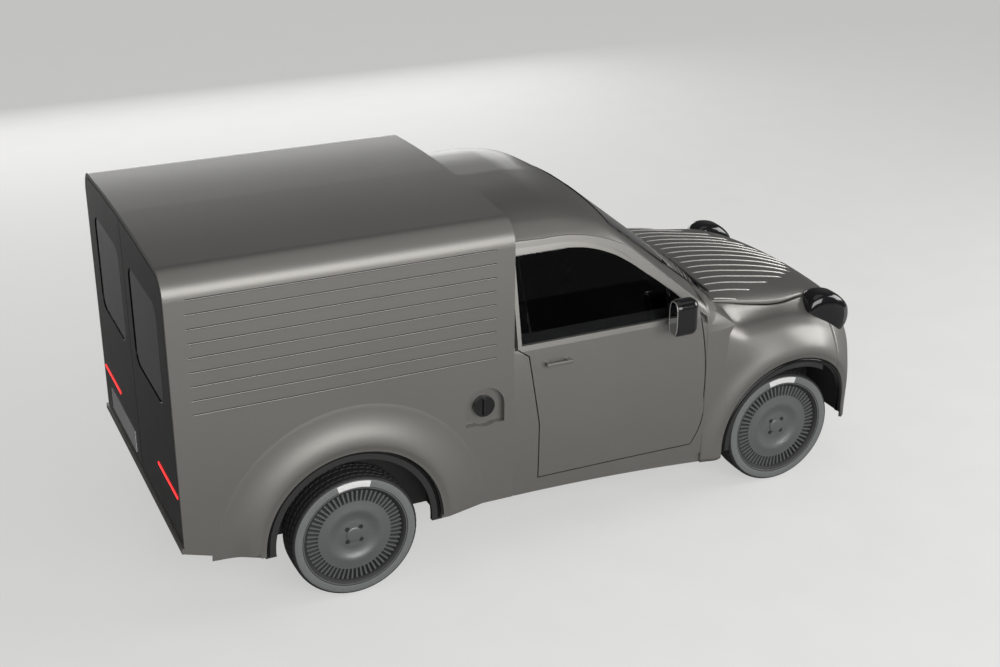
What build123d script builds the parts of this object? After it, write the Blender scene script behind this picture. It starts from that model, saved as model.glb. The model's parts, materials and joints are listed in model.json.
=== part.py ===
"""Small retro panel van: curved cab with a ribbed bonnet ahead of a square cargo box.

Millimetres. X points to the front, Y to the left, Z up, and the ground is Z = 0.
Stations are measured from the rear axle, and all pieces are moved by AXLE_SHIFT when written,
so that the origin lies under the middle of the van.
"""
import math
import os

from build123d import *

# Driving dimensions
WHEELBASE = 2400.0
REAR_OVERHANG = 802.0
FRONT_OVERHANG = 600.0
BODY_HALF = 780.0
BOX_TOP = 1749.0
TYRE_R = 308.0
REAR_TRACK_HALF = BODY_HALF - 78.0
FRONT_TRACK_HALF = BODY_HALF - 183.0
FRONT_END = WHEELBASE + FRONT_OVERHANG
AXLE_SHIFT = (REAR_OVERHANG - FRONT_END) / 2.0

# Clearances
SEAM = 6.0
SEAT_GAP = 0.3
STUB_CLEAR = 0.05

# Cargo box
BOX_REAR = -790.0
BOX_FRONT = 800.0
BOX_CROWN = 21.0
BOX_ROUND_R = 118.0
BOX_WALL = 38.0
BOX_RIM = 24.0
BOX_LOW = 300.0
REAR_SILL_Z = 419.0
FLOOR_Z = 440.0
FLOOR_T = 24.0
FLOOR_HALF = BODY_HALF - BOX_WALL
GROOVE_REAR = -705.0
GROOVE_FRONT = 710.0
GROOVE_DROP = 140.0
GROOVE_PITCH = 66.0
GROOVE_COUNT = 9
GROOVE_R = 5.0
GROOVE_STAND = 1.5
ARCH_R = 432.0
ARCH_Z = 325.0
FLARE_OUT = 24.0
FLARE_WIDE = 80.0
HOUSING_IN = BODY_HALF - 184.0

# Charge cap in its arched pocket
CAP_X = 654.0
CAP_Z = 838.0
CAP_R = 52.0
CAP_DEEP = 24.0
CAP_GRIP = 16.0
POCKET_R = 98.0
POCKET_LOW = 88.0
POCKET_DEEP = 32.0

# Fixings
RACK_X = 1200.0
RACK_Y = 1000.0
RACK_CENTRE_X = 20.0
RACK_HOLE_R = 5.5
RAIL_HALF = 430.0
RAIL_W = 60.0
RAIL_H = 66.0
TOW_Y = -500.0
TOW_Z = 432.0
TOW_R = 8.0
TOW_DEEP = 40.0
BUMPER_DEEP = 50.0
BUMPER_H = 27.0

# Rear doors
REAR_DOOR_T = 42.0
REAR_DOOR_GAP = 5.6
REAR_MEET = 3.0
PANE_T = 5.0
PANE_LAP = 20.0
PANE_SET = 4.0
PANE_Y = (100.0, 620.0)
PANE_Z = (1060.0, 1540.0)
PANE_ROUND = 70.0
TAIL_Z = 679.0
TAIL_H = 14.0
TAIL_DEEP = 6.0
TAIL_IN = BODY_HALF - 393.0
TAIL_OUT = BODY_HALF - 42.0
PLATE_SIZE = (520.0, 110.0, 4.0)
PLATE_MID = (365.0, 545.0)

# Cab, with stations back from the front axle
CAB_WALL = 55.0
CAB_SKIN = 12.0
CAB_TOP = 1700.0
CAB_LOW = 330.0
CAB_FLOOR_IN = (65.0, 90.0)
BELT_Z = 1058.0
COWL_X = WHEELBASE - 364.0
COWL_Z = 1108.0
FIREWALL_X = WHEELBASE - 495.0
SCREEN_TOP_X = WHEELBASE - 960.0
SCREEN_TOP_Z = 1588.0
SCREEN_BOW = 155.0
SCREEN_SET = 34.0
GLASS_T = 6.0
GLASS_SET = 16.0
PANE_SLOT = 8.0
DOOR_STRIP = 12.0
DOOR_SWING = 28.0
MIRROR_SIZE = (112.0, 92.0, 184.0)
MIRROR_X = WHEELBASE - 748.0
MIRROR_Z = 1148.0

# Bonnet and front
BONNET_T = 20.0
SHELL_T = 28.0
LEDGE_W = 22.0
RIB_COUNT = 17
RIB_SPAN = 0.72
RIB_REAR = -330.0
RIB_ROOT = 6.0
RIB_W = 5.0
RIB_H = 4.0
FRONT_ARCH_R = 420.0
FENDER_REAR = WHEELBASE - 538.0
NOSE_SPLIT = WHEELBASE + 297.0
NOSE_LOW = 270.0
GRILLE_HALF = 230.0
GRILLE_Z = (320.0, 450.0)
GRILLE_BARS = 3
BUMPER_HALF = 300.0
BUMPER_Z = (282.0, 678.0)
LAMP_IN = 488.0
LAMP_OUT = 640.0
LAMP_EDGE = 26.0
LAMP_CLEAR = 7.0

# Wheels
TYRE_W = 165.0
RIM_R = 253.0
STUB_R = 20.0
STUB_HEAD_R = 32.0
STUB_HEAD_T = 3.4
STUB_END = 56.0
STUB_HEAD_GAP = 0.6
KINGPIN_IN = 97.0
KINGPIN_Y = FRONT_TRACK_HALF - KINGPIN_IN
KINGPIN_R = 14.0
SLOT_COUNT = 36
SLOT_W = 7.0
SLOT_R = (182.0, 226.0)
SLOT_DEEP = 14.0
LUG_COUNT = 4
LUG_R = 11.0
LUG_PITCH_R = 47.0
BRAKE_R = 120.0
FRONT_BRAKE_R = 84.0
BEAM_R = 34.0
ARM_LOW_Z = 192.0
ARM_TOP_Z = 402.0
ARM_T = 20.0
LINER_T = 8.0
LIP_H = 52.0
LIP_W = 22.0

# Cabin
WIPER_R = 7.0
COLUMN_RUN = (-150.0, 95.0)
COLUMN_LEN = 177.55
SEAT_MID = 355.0
SEAT_HALF = 240.0
HEAD_HALF = 120.0
COLUMN_R = 24.0
PIN_R = 12.0
RIM_MID_R = 178.0
GRIP_R = 14.0

os.makedirs("parts", exist_ok=True)


def block(x0, x1, y0, y1, z0, z1):
    """Box between two corners, given in any order."""
    size = Box(abs(x1 - x0), abs(y1 - y0), abs(z1 - z0))
    return Pos((x0 + x1) / 2, (y0 + y1) / 2, (z0 + z1) / 2) * size


def rod_y(x, z, r, y0, y1):
    return Pos(x, (y0 + y1) / 2, z) * Rot(90, 0, 0) * Cylinder(r, abs(y1 - y0))


def rod_x(y, z, r, x0, x1):
    return Pos((x0 + x1) / 2, y, z) * Rot(0, 90, 0) * Cylinder(r, abs(x1 - x0))


def rod_z(x, y, r, z0, z1):
    return Pos(x, y, (z0 + z1) / 2) * Cylinder(r, abs(z1 - z0))


def rod_between(p, q, r):
    """Round bar from point p to point q."""
    reach = Vector(*q) - Vector(*p)
    middle = (Vector(*p) + Vector(*q)) * 0.5
    return Plane(origin=middle, z_dir=reach).location * Cylinder(r, reach.length)


def outline(plane, items):
    """Closed face. An item is a corner, or a pair that holds an arc's middle and its end."""
    edges = []
    first = items[0]
    last = first
    for item in items[1:] + [first]:
        if isinstance(item[0], tuple):
            edges.append(ThreePointArc(last, item[0], item[1]))
            last = item[1]
        elif item != last:
            edges.append(Line(last, item))
            last = item
    return plane * make_face(Curve() + edges)


def side_prism(items, y0, y1, grow=0.0):
    """Outline of (x, z) items, offset by grow, between two Y planes."""
    face = outline(Plane.XY, items)
    if grow:
        face = offset(face, amount=grow, kind=Kind.INTERSECTION)
    solid = extrude(face, amount=abs(y1 - y0), dir=(0, 0, 1))
    return Pos(0, max(y0, y1), 0) * Rot(90, 0, 0) * solid


def cross_prism(half, x0, x1, grow=0.0):
    """Symmetric section from items (y, z) of its left half, centre first, between X planes."""
    foot = half[-1][1][1] if isinstance(half[-1][1], tuple) else half[-1][1]
    face = outline(Plane.XY, half + [(0.0, foot)])
    face = face + mirror(face, about=Plane.YZ)
    if grow:
        face = offset(face, amount=grow, kind=Kind.INTERSECTION)
    solid = extrude(face, amount=x1 - x0, dir=(0, 0, 1))
    return Plane(origin=(x0, 0, 0), x_dir=(0, 1, 0), z_dir=(1, 0, 0)).location * solid


def turned(profile, x, y, z, side):
    """Revolve a half section of (radius, axial) points about the wheel axis."""
    flat = Polyline(*[(r, 0, a) for r, a in profile], close=True)
    ring = revolve(make_face(flat), axis=Axis.Z)
    return Pos(x, y, z) * Rot(-90 * side, 0, 0) * ring


def flip(shape):
    return mirror(shape, about=Plane.XZ)


def both(shape):
    return shape + flip(shape)


def largest(shape):
    return shape.solids().sort_by(SortBy.VOLUME)[-1]


def export(shape, name):
    export_step(Pos(AXLE_SHIFT, 0, 0) * shape, "parts/" + name + ".step")


# Cargo box: half section with a crowned roof and a rounded upper edge
def box_half(inset, low):
    """Left half of the section: the crown arc, the edge arc and the side wall."""
    half = BODY_HALF - inset
    r = BOX_ROUND_R - inset
    top = BOX_TOP - inset
    edge = top - BOX_CROWN
    crown_end = (half - r, edge)
    crown_mid = ((half - r) / 2, top - BOX_CROWN / 4)
    turn = r * (1 - math.sqrt(0.5))
    return [(0.0, top), (crown_mid, crown_end), ((half - turn, edge - turn), (half, edge - r)), (half, low)]


def wheel_flare():
    """Raised band that fades out above and behind the rear wheel."""
    r_out = ARCH_R + FLARE_WIDE
    band = [(ARCH_R - 7, 0), (ARCH_R, FLARE_OUT), (ARCH_R + FLARE_WIDE * 0.4, FLARE_OUT), (r_out, 0)]
    ring = turned(band, 0, BODY_HALF - 0.5, ARCH_Z, 1)
    return ring & block(-r_out, r_out, HOUSING_IN, BODY_HALF + FLARE_OUT * 2, ARCH_Z + 60, ARCH_Z + r_out)


def wheel_cut(x, r, y_in):
    return rod_y(x, ARCH_Z, r, y_in, BODY_HALF + FLARE_OUT * 2)


def side_grooves():
    """Stack of long round-bottomed grooves in the side wall."""
    stack = None
    for i in range(GROOVE_COUNT):
        z = BOX_TOP - GROOVE_DROP - i * GROOVE_PITCH
        groove = rod_x(BODY_HALF + GROOVE_STAND, z, GROOVE_R, GROOVE_REAR, GROOVE_FRONT)
        stack = groove if stack is None else stack + groove
    return stack


def cap_pocket():
    """Flat-bottomed pocket with a round top."""
    wall = -BODY_HALF - 10
    floor = -BODY_HALF + POCKET_DEEP
    low = block(CAP_X - POCKET_R, CAP_X + POCKET_R, wall, floor, CAP_Z - POCKET_LOW, CAP_Z)
    return low + rod_y(CAP_X, CAP_Z, POCKET_R, wall, floor)


def lower_edge():
    """Everything under the rising rear edge and the sill line."""
    reach = BODY_HALF + FLARE_OUT * 2
    points = [(-900, 100), (900, 100), (900, 330), (640, 330), (470, BOX_LOW), (-416, BOX_LOW),
              (BOX_REAR - 5, REAR_SILL_Z), (-900, REAR_SILL_Z + 20)]
    return side_prism(points, -reach, reach)


def make_cargo_box():
    outer = cross_prism(box_half(0.0, BOX_LOW), BOX_REAR, BOX_FRONT) - lower_edge()
    outer = outer + both(wheel_flare())
    inner = cross_prism(box_half(BOX_WALL, BOX_LOW - 50), BOX_REAR - 40, BOX_FRONT - BOX_WALL)
    rim_depth = REAR_DOOR_T + SEAT_GAP
    rim = cross_prism(box_half(BOX_RIM, REAR_SILL_Z + BUMPER_H + 2), BOX_REAR - 20, BOX_REAR + rim_depth)
    box = outer - inner - rim - both(wheel_cut(0, ARCH_R, HOUSING_IN - 6))
    return box - both(side_grooves()) - cap_pocket()


def make_cargo_floor():
    rear = BOX_REAR + REAR_DOOR_T + 14
    floor = block(rear, BOX_FRONT - BOX_WALL, -FLOOR_HALF, FLOOR_HALF, FLOOR_Z - FLOOR_T, FLOOR_Z)
    notch = block(-ARCH_R - 8, ARCH_R + 8, HOUSING_IN - 2, BODY_HALF, FLOOR_Z - 40, FLOOR_Z + 20)
    hole = rod_z(RACK_CENTRE_X + RACK_X / 2, RACK_Y / 2, RACK_HOLE_R, FLOOR_Z - 40, FLOOR_Z + 20)
    holes = both(hole)
    return floor - both(notch) - holes - Pos(-RACK_X, 0, 0) * holes


def make_chassis_rails():
    top = FLOOR_Z - FLOOR_T
    low = top - RAIL_H
    rail = block(BOX_REAR + 60, BOX_FRONT - BOX_WALL, RAIL_HALF, RAIL_HALF + RAIL_W, low, top)
    frame = both(rail)
    for x in (-700.0, 125.0, 635.0):
        frame = frame + block(x - 30, x + 30, -RAIL_HALF - 10, RAIL_HALF + 10, low, top - 2)
    return frame


def make_rear_bumper():
    rear = -REAR_OVERHANG
    front = rear + BUMPER_DEEP
    bar = block(rear, front, -BODY_HALF, BODY_HALF, REAR_SILL_Z, REAR_SILL_Z + BUMPER_H)
    corner = block(BOX_REAR, front + 10, BODY_HALF - BOX_WALL - 1, BODY_HALF + 10, 400, 500)
    socket = rod_x(TOW_Y, TOW_Z, TOW_R, rear - 10, rear + TOW_DEEP)
    return bar - both(corner) - socket


def make_charge_cap():
    floor = -BODY_HALF + POCKET_DEEP
    disc = rod_y(CAP_X, CAP_Z, CAP_R, floor, floor - CAP_DEEP)
    grip = block(CAP_X - CAP_GRIP / 2, CAP_X + CAP_GRIP / 2, floor - CAP_DEEP - 10, floor - CAP_DEEP + 2,
                 CAP_Z - CAP_R * 0.82, CAP_Z + CAP_R * 0.82)
    return disc + grip


export(make_cargo_box(), "cargo_box")
export(make_cargo_floor(), "cargo_floor")
export(make_chassis_rails(), "chassis_rails")
export(make_rear_bumper(), "rear_bumper")
export(make_charge_cap(), "charge_cap")


# Cab: side view and half section, cut by the bowed windscreen surface
def cab_side():
    back = BOX_FRONT - CAB_WALL * 2
    return [(back, CAB_LOW), (back, CAB_TOP), (BOX_FRONT + 290, CAB_TOP),
            ((SCREEN_TOP_X - 165, CAB_TOP - 28), (SCREEN_TOP_X, SCREEN_TOP_Z)), (COWL_X, COWL_Z),
            (COWL_X - 4, 1040), (COWL_X - 50, 960), (COWL_X - 130, CAB_LOW)]


def cab_half():
    return [(0.0, CAB_TOP), ((BODY_HALF - 420, CAB_TOP - 15), (BODY_HALF - 208, 1644)),
            ((BODY_HALF - 143, 1618), (BODY_HALF - 118, 1572)), (BODY_HALF - 13, BELT_Z + 20),
            ((BODY_HALF - 1, 720), (BODY_HALF - 6, CAB_LOW))]


def behind_screen(inset):
    """Everything behind the windscreen surface, which is bowed in plan and raked."""
    x0 = COWL_X - inset
    rake = (SCREEN_TOP_X - COWL_X) / (SCREEN_TOP_Z - COWL_Z)
    side = BODY_HALF + 20
    arc = ThreePointArc((x0 - SCREEN_BOW, side), (x0, 0), (x0 - SCREEN_BOW, -side))
    back = Polyline((x0 - SCREEN_BOW, -side), (-FRONT_END, -side), (-FRONT_END, side), (x0 - SCREEN_BOW, side))
    foot = Pos(-rake * COWL_Z, 0, 0) * make_face(Curve() + [arc, back])
    run = math.hypot(rake, 1.0) * FRONT_END
    return extrude(foot, amount=run, dir=(rake, 0, 1))


def cab_solid(inset):
    """Cab form, moved inward by inset and left long at the back."""
    side = side_prism(cab_side(), -BODY_HALF, BODY_HALF, -inset)
    section = cross_prism(cab_half(), BOX_FRONT - CAB_WALL * 2, COWL_X + 100, -inset)
    return side & section & behind_screen(SCREEN_SET * inset / CAB_WALL)


def door_items():
    """Side door seen from the side, from the rear foot upward."""
    a = WHEELBASE
    return [(BOX_FRONT + 138, 404), (BOX_FRONT + 140, 690), (BOX_FRONT + 86, 1050),
            (BOX_FRONT + DOOR_SWING, 1092), (BOX_FRONT + DOOR_SWING, 1584), (BOX_FRONT + 200, 1578),
            ((a - 1100, 1540), (a - 960, 1478)), (a - 876, 1402), (a - 600, 1172), (a - 578, 1030),
            ((a - 551, 800), (a - 552, 660)), ((a - 560, 500), (a - 612, 396)), (BOX_FRONT + 500, 402)]


def window_items():
    a = WHEELBASE
    return [(BOX_FRONT + 44, 1100), (BOX_FRONT + 44, 1556), (BOX_FRONT + 200, 1552),
            ((a - 1112, 1513), (a - 980, 1452)), (a - 898, 1378), (a - 632, 1146), (a - 624, 1098)]


def screen_items():
    """Windscreen opening seen from the side."""
    return [(SCREEN_TOP_X + 30, 1700), (SCREEN_TOP_X - 40, 1560), (COWL_X - 76, 1112), (COWL_X + 24, 1112),
            (COWL_X + 104, 1300)]


reach = BODY_HALF + 20
cab_room = cab_solid(CAB_WALL)
cab_outer = cab_solid(0.0) & block(BOX_FRONT, FRONT_END, -reach, reach, 0, BOX_TOP)
cab_core = cab_solid(CAB_SKIN)
cab_shell = cab_outer - cab_room
door_zone = side_prism(door_items(), -reach, -BODY_HALF / 2)


def door_gap():
    """Door opening with a stepped jamb: narrow at the skin, wider behind it, closed by a seal flange."""
    top = (1086, 1592)
    narrow = side_prism(door_items(), -reach, -BODY_HALF / 2, SEAM)
    narrow = narrow + block(BOX_FRONT + DOOR_STRIP, BOX_FRONT + 40, -reach, -BODY_HALF / 2, *top)
    wide = side_prism(door_items(), -reach, -BODY_HALF / 2, SEAM * 2)
    wide = wide + block(BOX_FRONT, BOX_FRONT + 40, -reach, -BODY_HALF / 2, *top)
    flange = side_prism(door_items(), -reach, -BODY_HALF / 2, -SEAM * 2)
    seat = cab_solid(CAB_WALL - 15 + SEAT_GAP)
    return narrow + (wide & cab_core) - (seat - flange)


def cab_floor_zone(gap):
    """Middle of the cab floor, short of the firewall and of both side walls."""
    front = FIREWALL_X - CAB_FLOOR_IN[0] - gap
    half = BODY_HALF - CAB_FLOOR_IN[1] - gap
    return block(BOX_FRONT, front, -half, half, 0, CAB_LOW + CAB_WALL + SEAM)


def make_cab_floor():
    return cab_shell & cab_floor_zone(SEAT_GAP)


def make_cab_frame():
    screen = side_prism(screen_items(), -BODY_HALF + 220, BODY_HALF - 220)
    return cab_shell - both(door_gap()) - screen - cab_floor_zone(0.0)


def glass_sheet(inset):
    """Thin slab that follows the leaning upper side of the cab."""
    low_y = BODY_HALF - 13 - inset
    top_y = BODY_HALF - 118 - inset
    half = [(top_y, 1572), (top_y - GLASS_T, 1572), (low_y - GLASS_T, BELT_Z + 20), (low_y, BELT_Z + 20)]
    face = make_face(Polyline(*half, close=True))
    slab = extrude(face, amount=COWL_X - BOX_FRONT, dir=(0, 0, 1))
    return flip(Plane(origin=(BOX_FRONT, 0, 0), x_dir=(0, 1, 0), z_dir=(1, 0, 0)).location * slab)


def make_door():
    """Right door with its window frame and pull handle."""
    window = side_prism(window_items(), -reach, -BODY_HALF / 2, -4.0)
    leaf = (cab_outer - cab_solid(CAB_WALL - 15)) & door_zone
    slot = side_prism(window_items(), -reach, -BODY_HALF / 2, PANE_SLOT)
    leaf = leaf - window - (glass_sheet(GLASS_SET) & slot)
    out = -BODY_HALF - 22
    bar = block(BOX_FRONT + 162, BOX_FRONT + 298, out, out + 12, 990, 1006)
    foot = block(BOX_FRONT + 166, BOX_FRONT + 188, out + 2, -BODY_HALF + 20, 988, 1006)
    return leaf + fillet(bar.edges().filter_by(Axis.X), 4.0) + foot + Pos(104, 0, 0) * foot


def make_mirror():
    """Right mirror: rounded shell with a flat glass side, on a short arm."""
    size = Box(MIRROR_SIZE[0] * 1.3, MIRROR_SIZE[1], MIRROR_SIZE[2])
    head = Pos(MIRROR_X, -BODY_HALF - 76, MIRROR_Z) * fillet(size.edges(), MIRROR_SIZE[1] * 0.44)
    rear = MIRROR_X - MIRROR_SIZE[0] * 0.45
    head = head - block(rear - 100, rear, -BODY_HALF - 200, -BODY_HALF, 900, 1400)
    arm = block(MIRROR_X - 14, MIRROR_X + 34, -BODY_HALF - 60, -BODY_HALF + 24, 1074, 1104)
    return head + (arm - cab_outer)


door = make_door()
door_mirror = make_mirror()
pane = glass_sheet(GLASS_SET) & side_prism(window_items(), -reach, -BODY_HALF / 2, PANE_SLOT - SEAT_GAP)
export(make_cab_frame(), "cab_frame")
export(make_cab_floor(), "cab_floor")
export(door, "door_right")
export(flip(door), "door_left")
export(pane, "door_glass_right")
export(flip(pane), "door_glass_left")
export(door_mirror, "mirror_right")
export(flip(door_mirror), "mirror_left")
slab = (cab_outer & side_prism(screen_items(), -BODY_HALF + 220, BODY_HALF - 220)) - behind_screen(GLASS_T + 2)
export(slab, "windscreen")


# Front body: half sections ahead of the front axle, drawn at STYLE_HALF and widened with the body
STYLE_HALF = 780.0
FRONT = [
    (-540, [(0, 1104), (300, 1096), (480, 1082), (600, 1060), (655, 1033), (715, 985), (768, 860), (776, 700)]),
    (-260, [(0, 1100), (300, 1090), (470, 1072), (575, 1030), (625, 975), (690, 935), (755, 860), (774, 700)]),
    (-67, [(0, 1078), (300, 1063), (450, 1044), (545, 1008), (600, 957), (680, 932), (752, 855), (772, 700)]),
    (147, [(0, 1035), (300, 1022), (430, 1012), (518, 990), (575, 940), (650, 902), (735, 815), (756, 690)]),
    (290, [(0, 990), (280, 980), (400, 972), (482, 954), (538, 902), (610, 862), (695, 765), (722, 660)]),
    (400, [(0, 945), (260, 936), (370, 927), (447, 906), (500, 855), (565, 812), (640, 710), (665, 620)]),
    (480, [(0, 898), (230, 890), (330, 880), (402, 858), (450, 808), (505, 765), (563, 675), (580, 600)]),
    (540, [(0, 835), (190, 828), (270, 818), (330, 792), (372, 750), (415, 710), (462, 622), (470, 580)]),
    (585, [(0, 690), (100, 688), (180, 678), (222, 655), (256, 632), (280, 608), (306, 562), (312, 540)]),
]


def front_loft(drop, inset, low):
    """Front body skin, lowered by drop and narrowed by inset, closed by a flat bottom."""
    rings = []
    for ahead, half in FRONT:
        x = WHEELBASE + ahead
        left = []
        for y, z in half:
            wide = y * BODY_HALF / STYLE_HALF
            left.append((x, wide - inset * min(1.0, wide / 400.0), z - drop))
        right = [(x, -y, z) for x, y, z in reversed(left[1:])]
        skin = Polyline(*(right + left))
        end = left[-1][1]
        foot = Polyline((x, end, left[-1][2]), (x, end, low), (x, -end, low), (x, -end, left[-1][2]))
        rings.append(make_face(Curve() + [skin, foot]))
    return loft(rings, ruled=True)


def plan_prism(items, grow=0.0):
    """Outline of (x, y) items, offset by grow, through the whole height of the front body."""
    face = outline(Plane.XY, items)
    if grow:
        face = offset(face, amount=grow, kind=Kind.INTERSECTION)
    return Pos(0, 0, NOSE_LOW + 300) * extrude(face, amount=COWL_Z, dir=(0, 0, 1))


def bonnet_items():
    a = WHEELBASE
    w = BODY_HALF
    return [(a - 412, -w + 196), ((a - 352, 0), (a - 412, w - 196)), ((a + 20, w - 212), (a + 240, w - 268)),
            ((a + 380, w - 370), (a + 455, w - 560)), ((a + 480, 0), (a + 455, -w + 560)),
            ((a + 380, -w + 370), (a + 240, -w + 268)), ((a + 20, -w + 212), (a - 412, -w + 196))]


def lamp_items():
    """Lamp pod seen from the side."""
    a = WHEELBASE
    return [(a + 163, 880), ((a + 182, 960), (a + 240, 1003)), (a + 290, 1000), ((a + 400, 940), (a + 434, 856)),
            ((a + 424, 790), (a + 370, 764)), (a + 250, 770), ((a + 182, 800), (a + 163, 880))]


def rib_tips():
    """Points (ahead of the axle, share of the half width) where the ribs end at the front."""
    return [(440, 0.0), (391, 0.142), (340, 0.256), (255, 0.359), (110, 0.5), (-30, 0.577), (-200, 0.68),
            (-260, 0.73)]


def rib_front(y):
    """Station where the rib at width y ends."""
    share = abs(y) / BODY_HALF
    tips = rib_tips()
    for (x0, s0), (x1, s1) in zip(tips, tips[1:]):
        if share <= s1:
            return WHEELBASE + x0 + (x1 - x0) * (share - s0) / (s1 - s0)
    return WHEELBASE + tips[-1][0]


def make_ribs():
    """Raised ribs that follow the skin, each from the cowl to its own place at the front."""
    ribs = []
    span = BODY_HALF * RIB_SPAN
    for i in range(RIB_COUNT):
        y = span * (2 * i / (RIB_COUNT - 1) - 1)
        cut = Plane(origin=(WHEELBASE, y, 0), x_dir=(1, 0, 0), z_dir=(0, -1, 0))
        section = front_outer & cut
        front = rib_front(y) - WHEELBASE
        middle = (front + RIB_REAR) / 2
        window = cut * Pos(middle, COWL_Z - 100) * Rectangle(front - RIB_REAR, 500)
        face = (Pos(0, 0, RIB_H) * section - Pos(0, 0, -RIB_ROOT) * section) & window
        ribs.append(Pos(0, RIB_W / 2, 0) * extrude(face, amount=RIB_W, dir=(0, -1, 0)))
    return ribs


def front_arches():
    return both(rod_y(WHEELBASE, ARCH_Z, FRONT_ARCH_R, BODY_HALF - 450, BODY_HALF + 100))


front_outer = front_loft(0.0, 0.0, NOSE_LOW)
front_inner = front_loft(SHELL_T, SHELL_T, NOSE_LOW - 60)
front_skin = front_outer - front_inner
lamp_room = both(side_prism(lamp_items(), LAMP_IN, LAMP_OUT, SEAT_GAP))


def make_bonnet():
    """Ribbed panel, with notches that clear the lamp pods and the cowl."""
    panel = front_outer & plan_prism(bonnet_items())
    panel = panel - Pos(0, 0, -BONNET_T) * (front_outer & plan_prism(bonnet_items(), SEAM))
    notch = both(side_prism(lamp_items(), LAMP_IN - LAMP_CLEAR, LAMP_OUT, LAMP_CLEAR))
    cowl = Pos(SEAM + 2, 0, 0) * cab_outer
    panel = panel - notch - cowl - Pos(0, 0, -30) * cowl
    for rib in make_ribs():
        panel = panel + rib
    return largest(panel)


def make_front_shell():
    """Fenders and nose in one, with a ledge that carries the edge of the bonnet."""
    wide = plan_prism(bonnet_items(), SEAM)
    gap = wide - Pos(0, 0, -BONNET_T - SEAT_GAP) * (front_outer & plan_prism(bonnet_items(), SEAM * 2))
    hole = plan_prism(bonnet_items(), -LEDGE_W)
    return front_skin - hole - gap - front_arches() - cab_outer - lamp_room


def make_nose():
    """Front end with a rounded bumper bar and the air opening."""
    ahead = block(NOSE_SPLIT, FRONT_END + 100, -BODY_HALF - 50, BODY_HALF + 50, 200, CAB_TOP)
    bar = block(FRONT_END - 50, FRONT_END, -BUMPER_HALF, BUMPER_HALF, *BUMPER_Z)
    bar = fillet(bar.edges().filter_by(Axis.Y), 14.0)
    air = block(FRONT_END - 80, FRONT_END + 10, -GRILLE_HALF, GRILLE_HALF, *GRILLE_Z)
    return largest((front_shell & ahead) + (bar - front_inner)) - air


def make_grille():
    """Dark panel with three level bars in the air opening."""
    panel = block(FRONT_END - 40, FRONT_END - 16, -GRILLE_HALF, GRILLE_HALF, *GRILLE_Z)
    step = (GRILLE_Z[1] - GRILLE_Z[0]) / (GRILLE_BARS + 1)
    for i in range(GRILLE_BARS):
        z = GRILLE_Z[0] + (i + 1) * step
        panel = panel + block(FRONT_END - 18, FRONT_END - 8, -GRILLE_HALF, GRILLE_HALF, z - 5, z + 5)
    return panel


def make_headlamp():
    full = outline(Plane.XY, lamp_items())
    small = offset(full, amount=-LAMP_EDGE * 0.7, kind=Kind.INTERSECTION)
    deep = LAMP_OUT - LAMP_IN
    rings = [small, Pos(0, 0, LAMP_EDGE) * full, Pos(0, 0, deep - LAMP_EDGE) * full, Pos(0, 0, deep) * small]
    return Pos(0, LAMP_OUT, 0) * Rot(90, 0, 0) * loft(rings, ruled=True)


front_shell = make_front_shell()
side_part = block(FENDER_REAR, NOSE_SPLIT, -BODY_HALF - 50, -BODY_HALF / 2, 200, CAB_TOP)
fender = largest(front_shell & side_part)
headlamp = make_headlamp()
export(make_bonnet(), "bonnet")
export(fender, "fender_right")
export(flip(fender), "fender_left")
export(make_nose(), "nose")
export(make_grille(), "grille")
export(headlamp, "headlamp_left")
export(flip(headlamp), "headlamp_right")


# Wheels: disc with hub, web and barrel, and the tyre round it
def disc_profile():
    bore = STUB_R + STUB_CLEAR
    bead = RIM_R - 13
    return [(bore, 8), (62, 8), (62, 36), (214, 42), (222, -76), (248, -76), (RIM_R, -79), (RIM_R, -72),
            (bead, -70), (233, -62), (233, 62), (bead, 70), (RIM_R, 72), (RIM_R, 80), (bead, 77), (228, 60),
            (150, 66), (128, 70), (106, 60), (62, 50), (36, 56), (bore, 56)]


def tyre_profile():
    half = TYRE_W / 2
    tread = half - 20
    return [(233, -62), (233, 62), (RIM_R - 13, 70), (RIM_R, 72), (RIM_R + 11, half), (TYRE_R - 16, half),
            (TYRE_R - 6, half - 6), (TYRE_R - 1, tread), (TYRE_R, 30), (TYRE_R, -30), (TYRE_R - 1, -tread),
            (TYRE_R - 6, 6 - half), (TYRE_R - 16, -half), (RIM_R + 11, -half), (RIM_R, -72), (RIM_R - 13, -70)]


def disc_cutters():
    """Radial pockets round the rim and lug holes round the hub, on the outer face."""
    mid = (SLOT_R[0] + SLOT_R[1]) / 2
    pocket = Pos(mid, 0, 62) * Box(SLOT_R[1] - SLOT_R[0], SLOT_W, SLOT_DEEP * 2)
    cutters = PolarLocations(0, SLOT_COUNT) * pocket
    holes = PolarLocations(LUG_PITCH_R, LUG_COUNT) * (Pos(0, 0, 50) * Cylinder(LUG_R, 60))
    return cutters + holes


def place_wheel(shape, x, y):
    side = 1 if y > 0 else -1
    return Pos(x, y, TYRE_R) * Rot(-90 * side, 0, 0) * shape


disc = revolve(make_face(Polyline(*[(r, 0, a) for r, a in disc_profile()], close=True)), axis=Axis.Z)
disc = disc - disc_cutters()
tyre = revolve(make_face(Polyline(*[(r, 0, a) for r, a in tyre_profile()], close=True)), axis=Axis.Z)
for name, x, y in (
    ("rear_left", 0.0, REAR_TRACK_HALF),
    ("rear_right", 0.0, -REAR_TRACK_HALF),
    ("front_left", WHEELBASE, FRONT_TRACK_HALF),
    ("front_right", WHEELBASE, -FRONT_TRACK_HALF),
):
    export(place_wheel(disc, x, y), "disc_" + name)
    export(place_wheel(tyre, x, y), "tyre_" + name)


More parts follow.
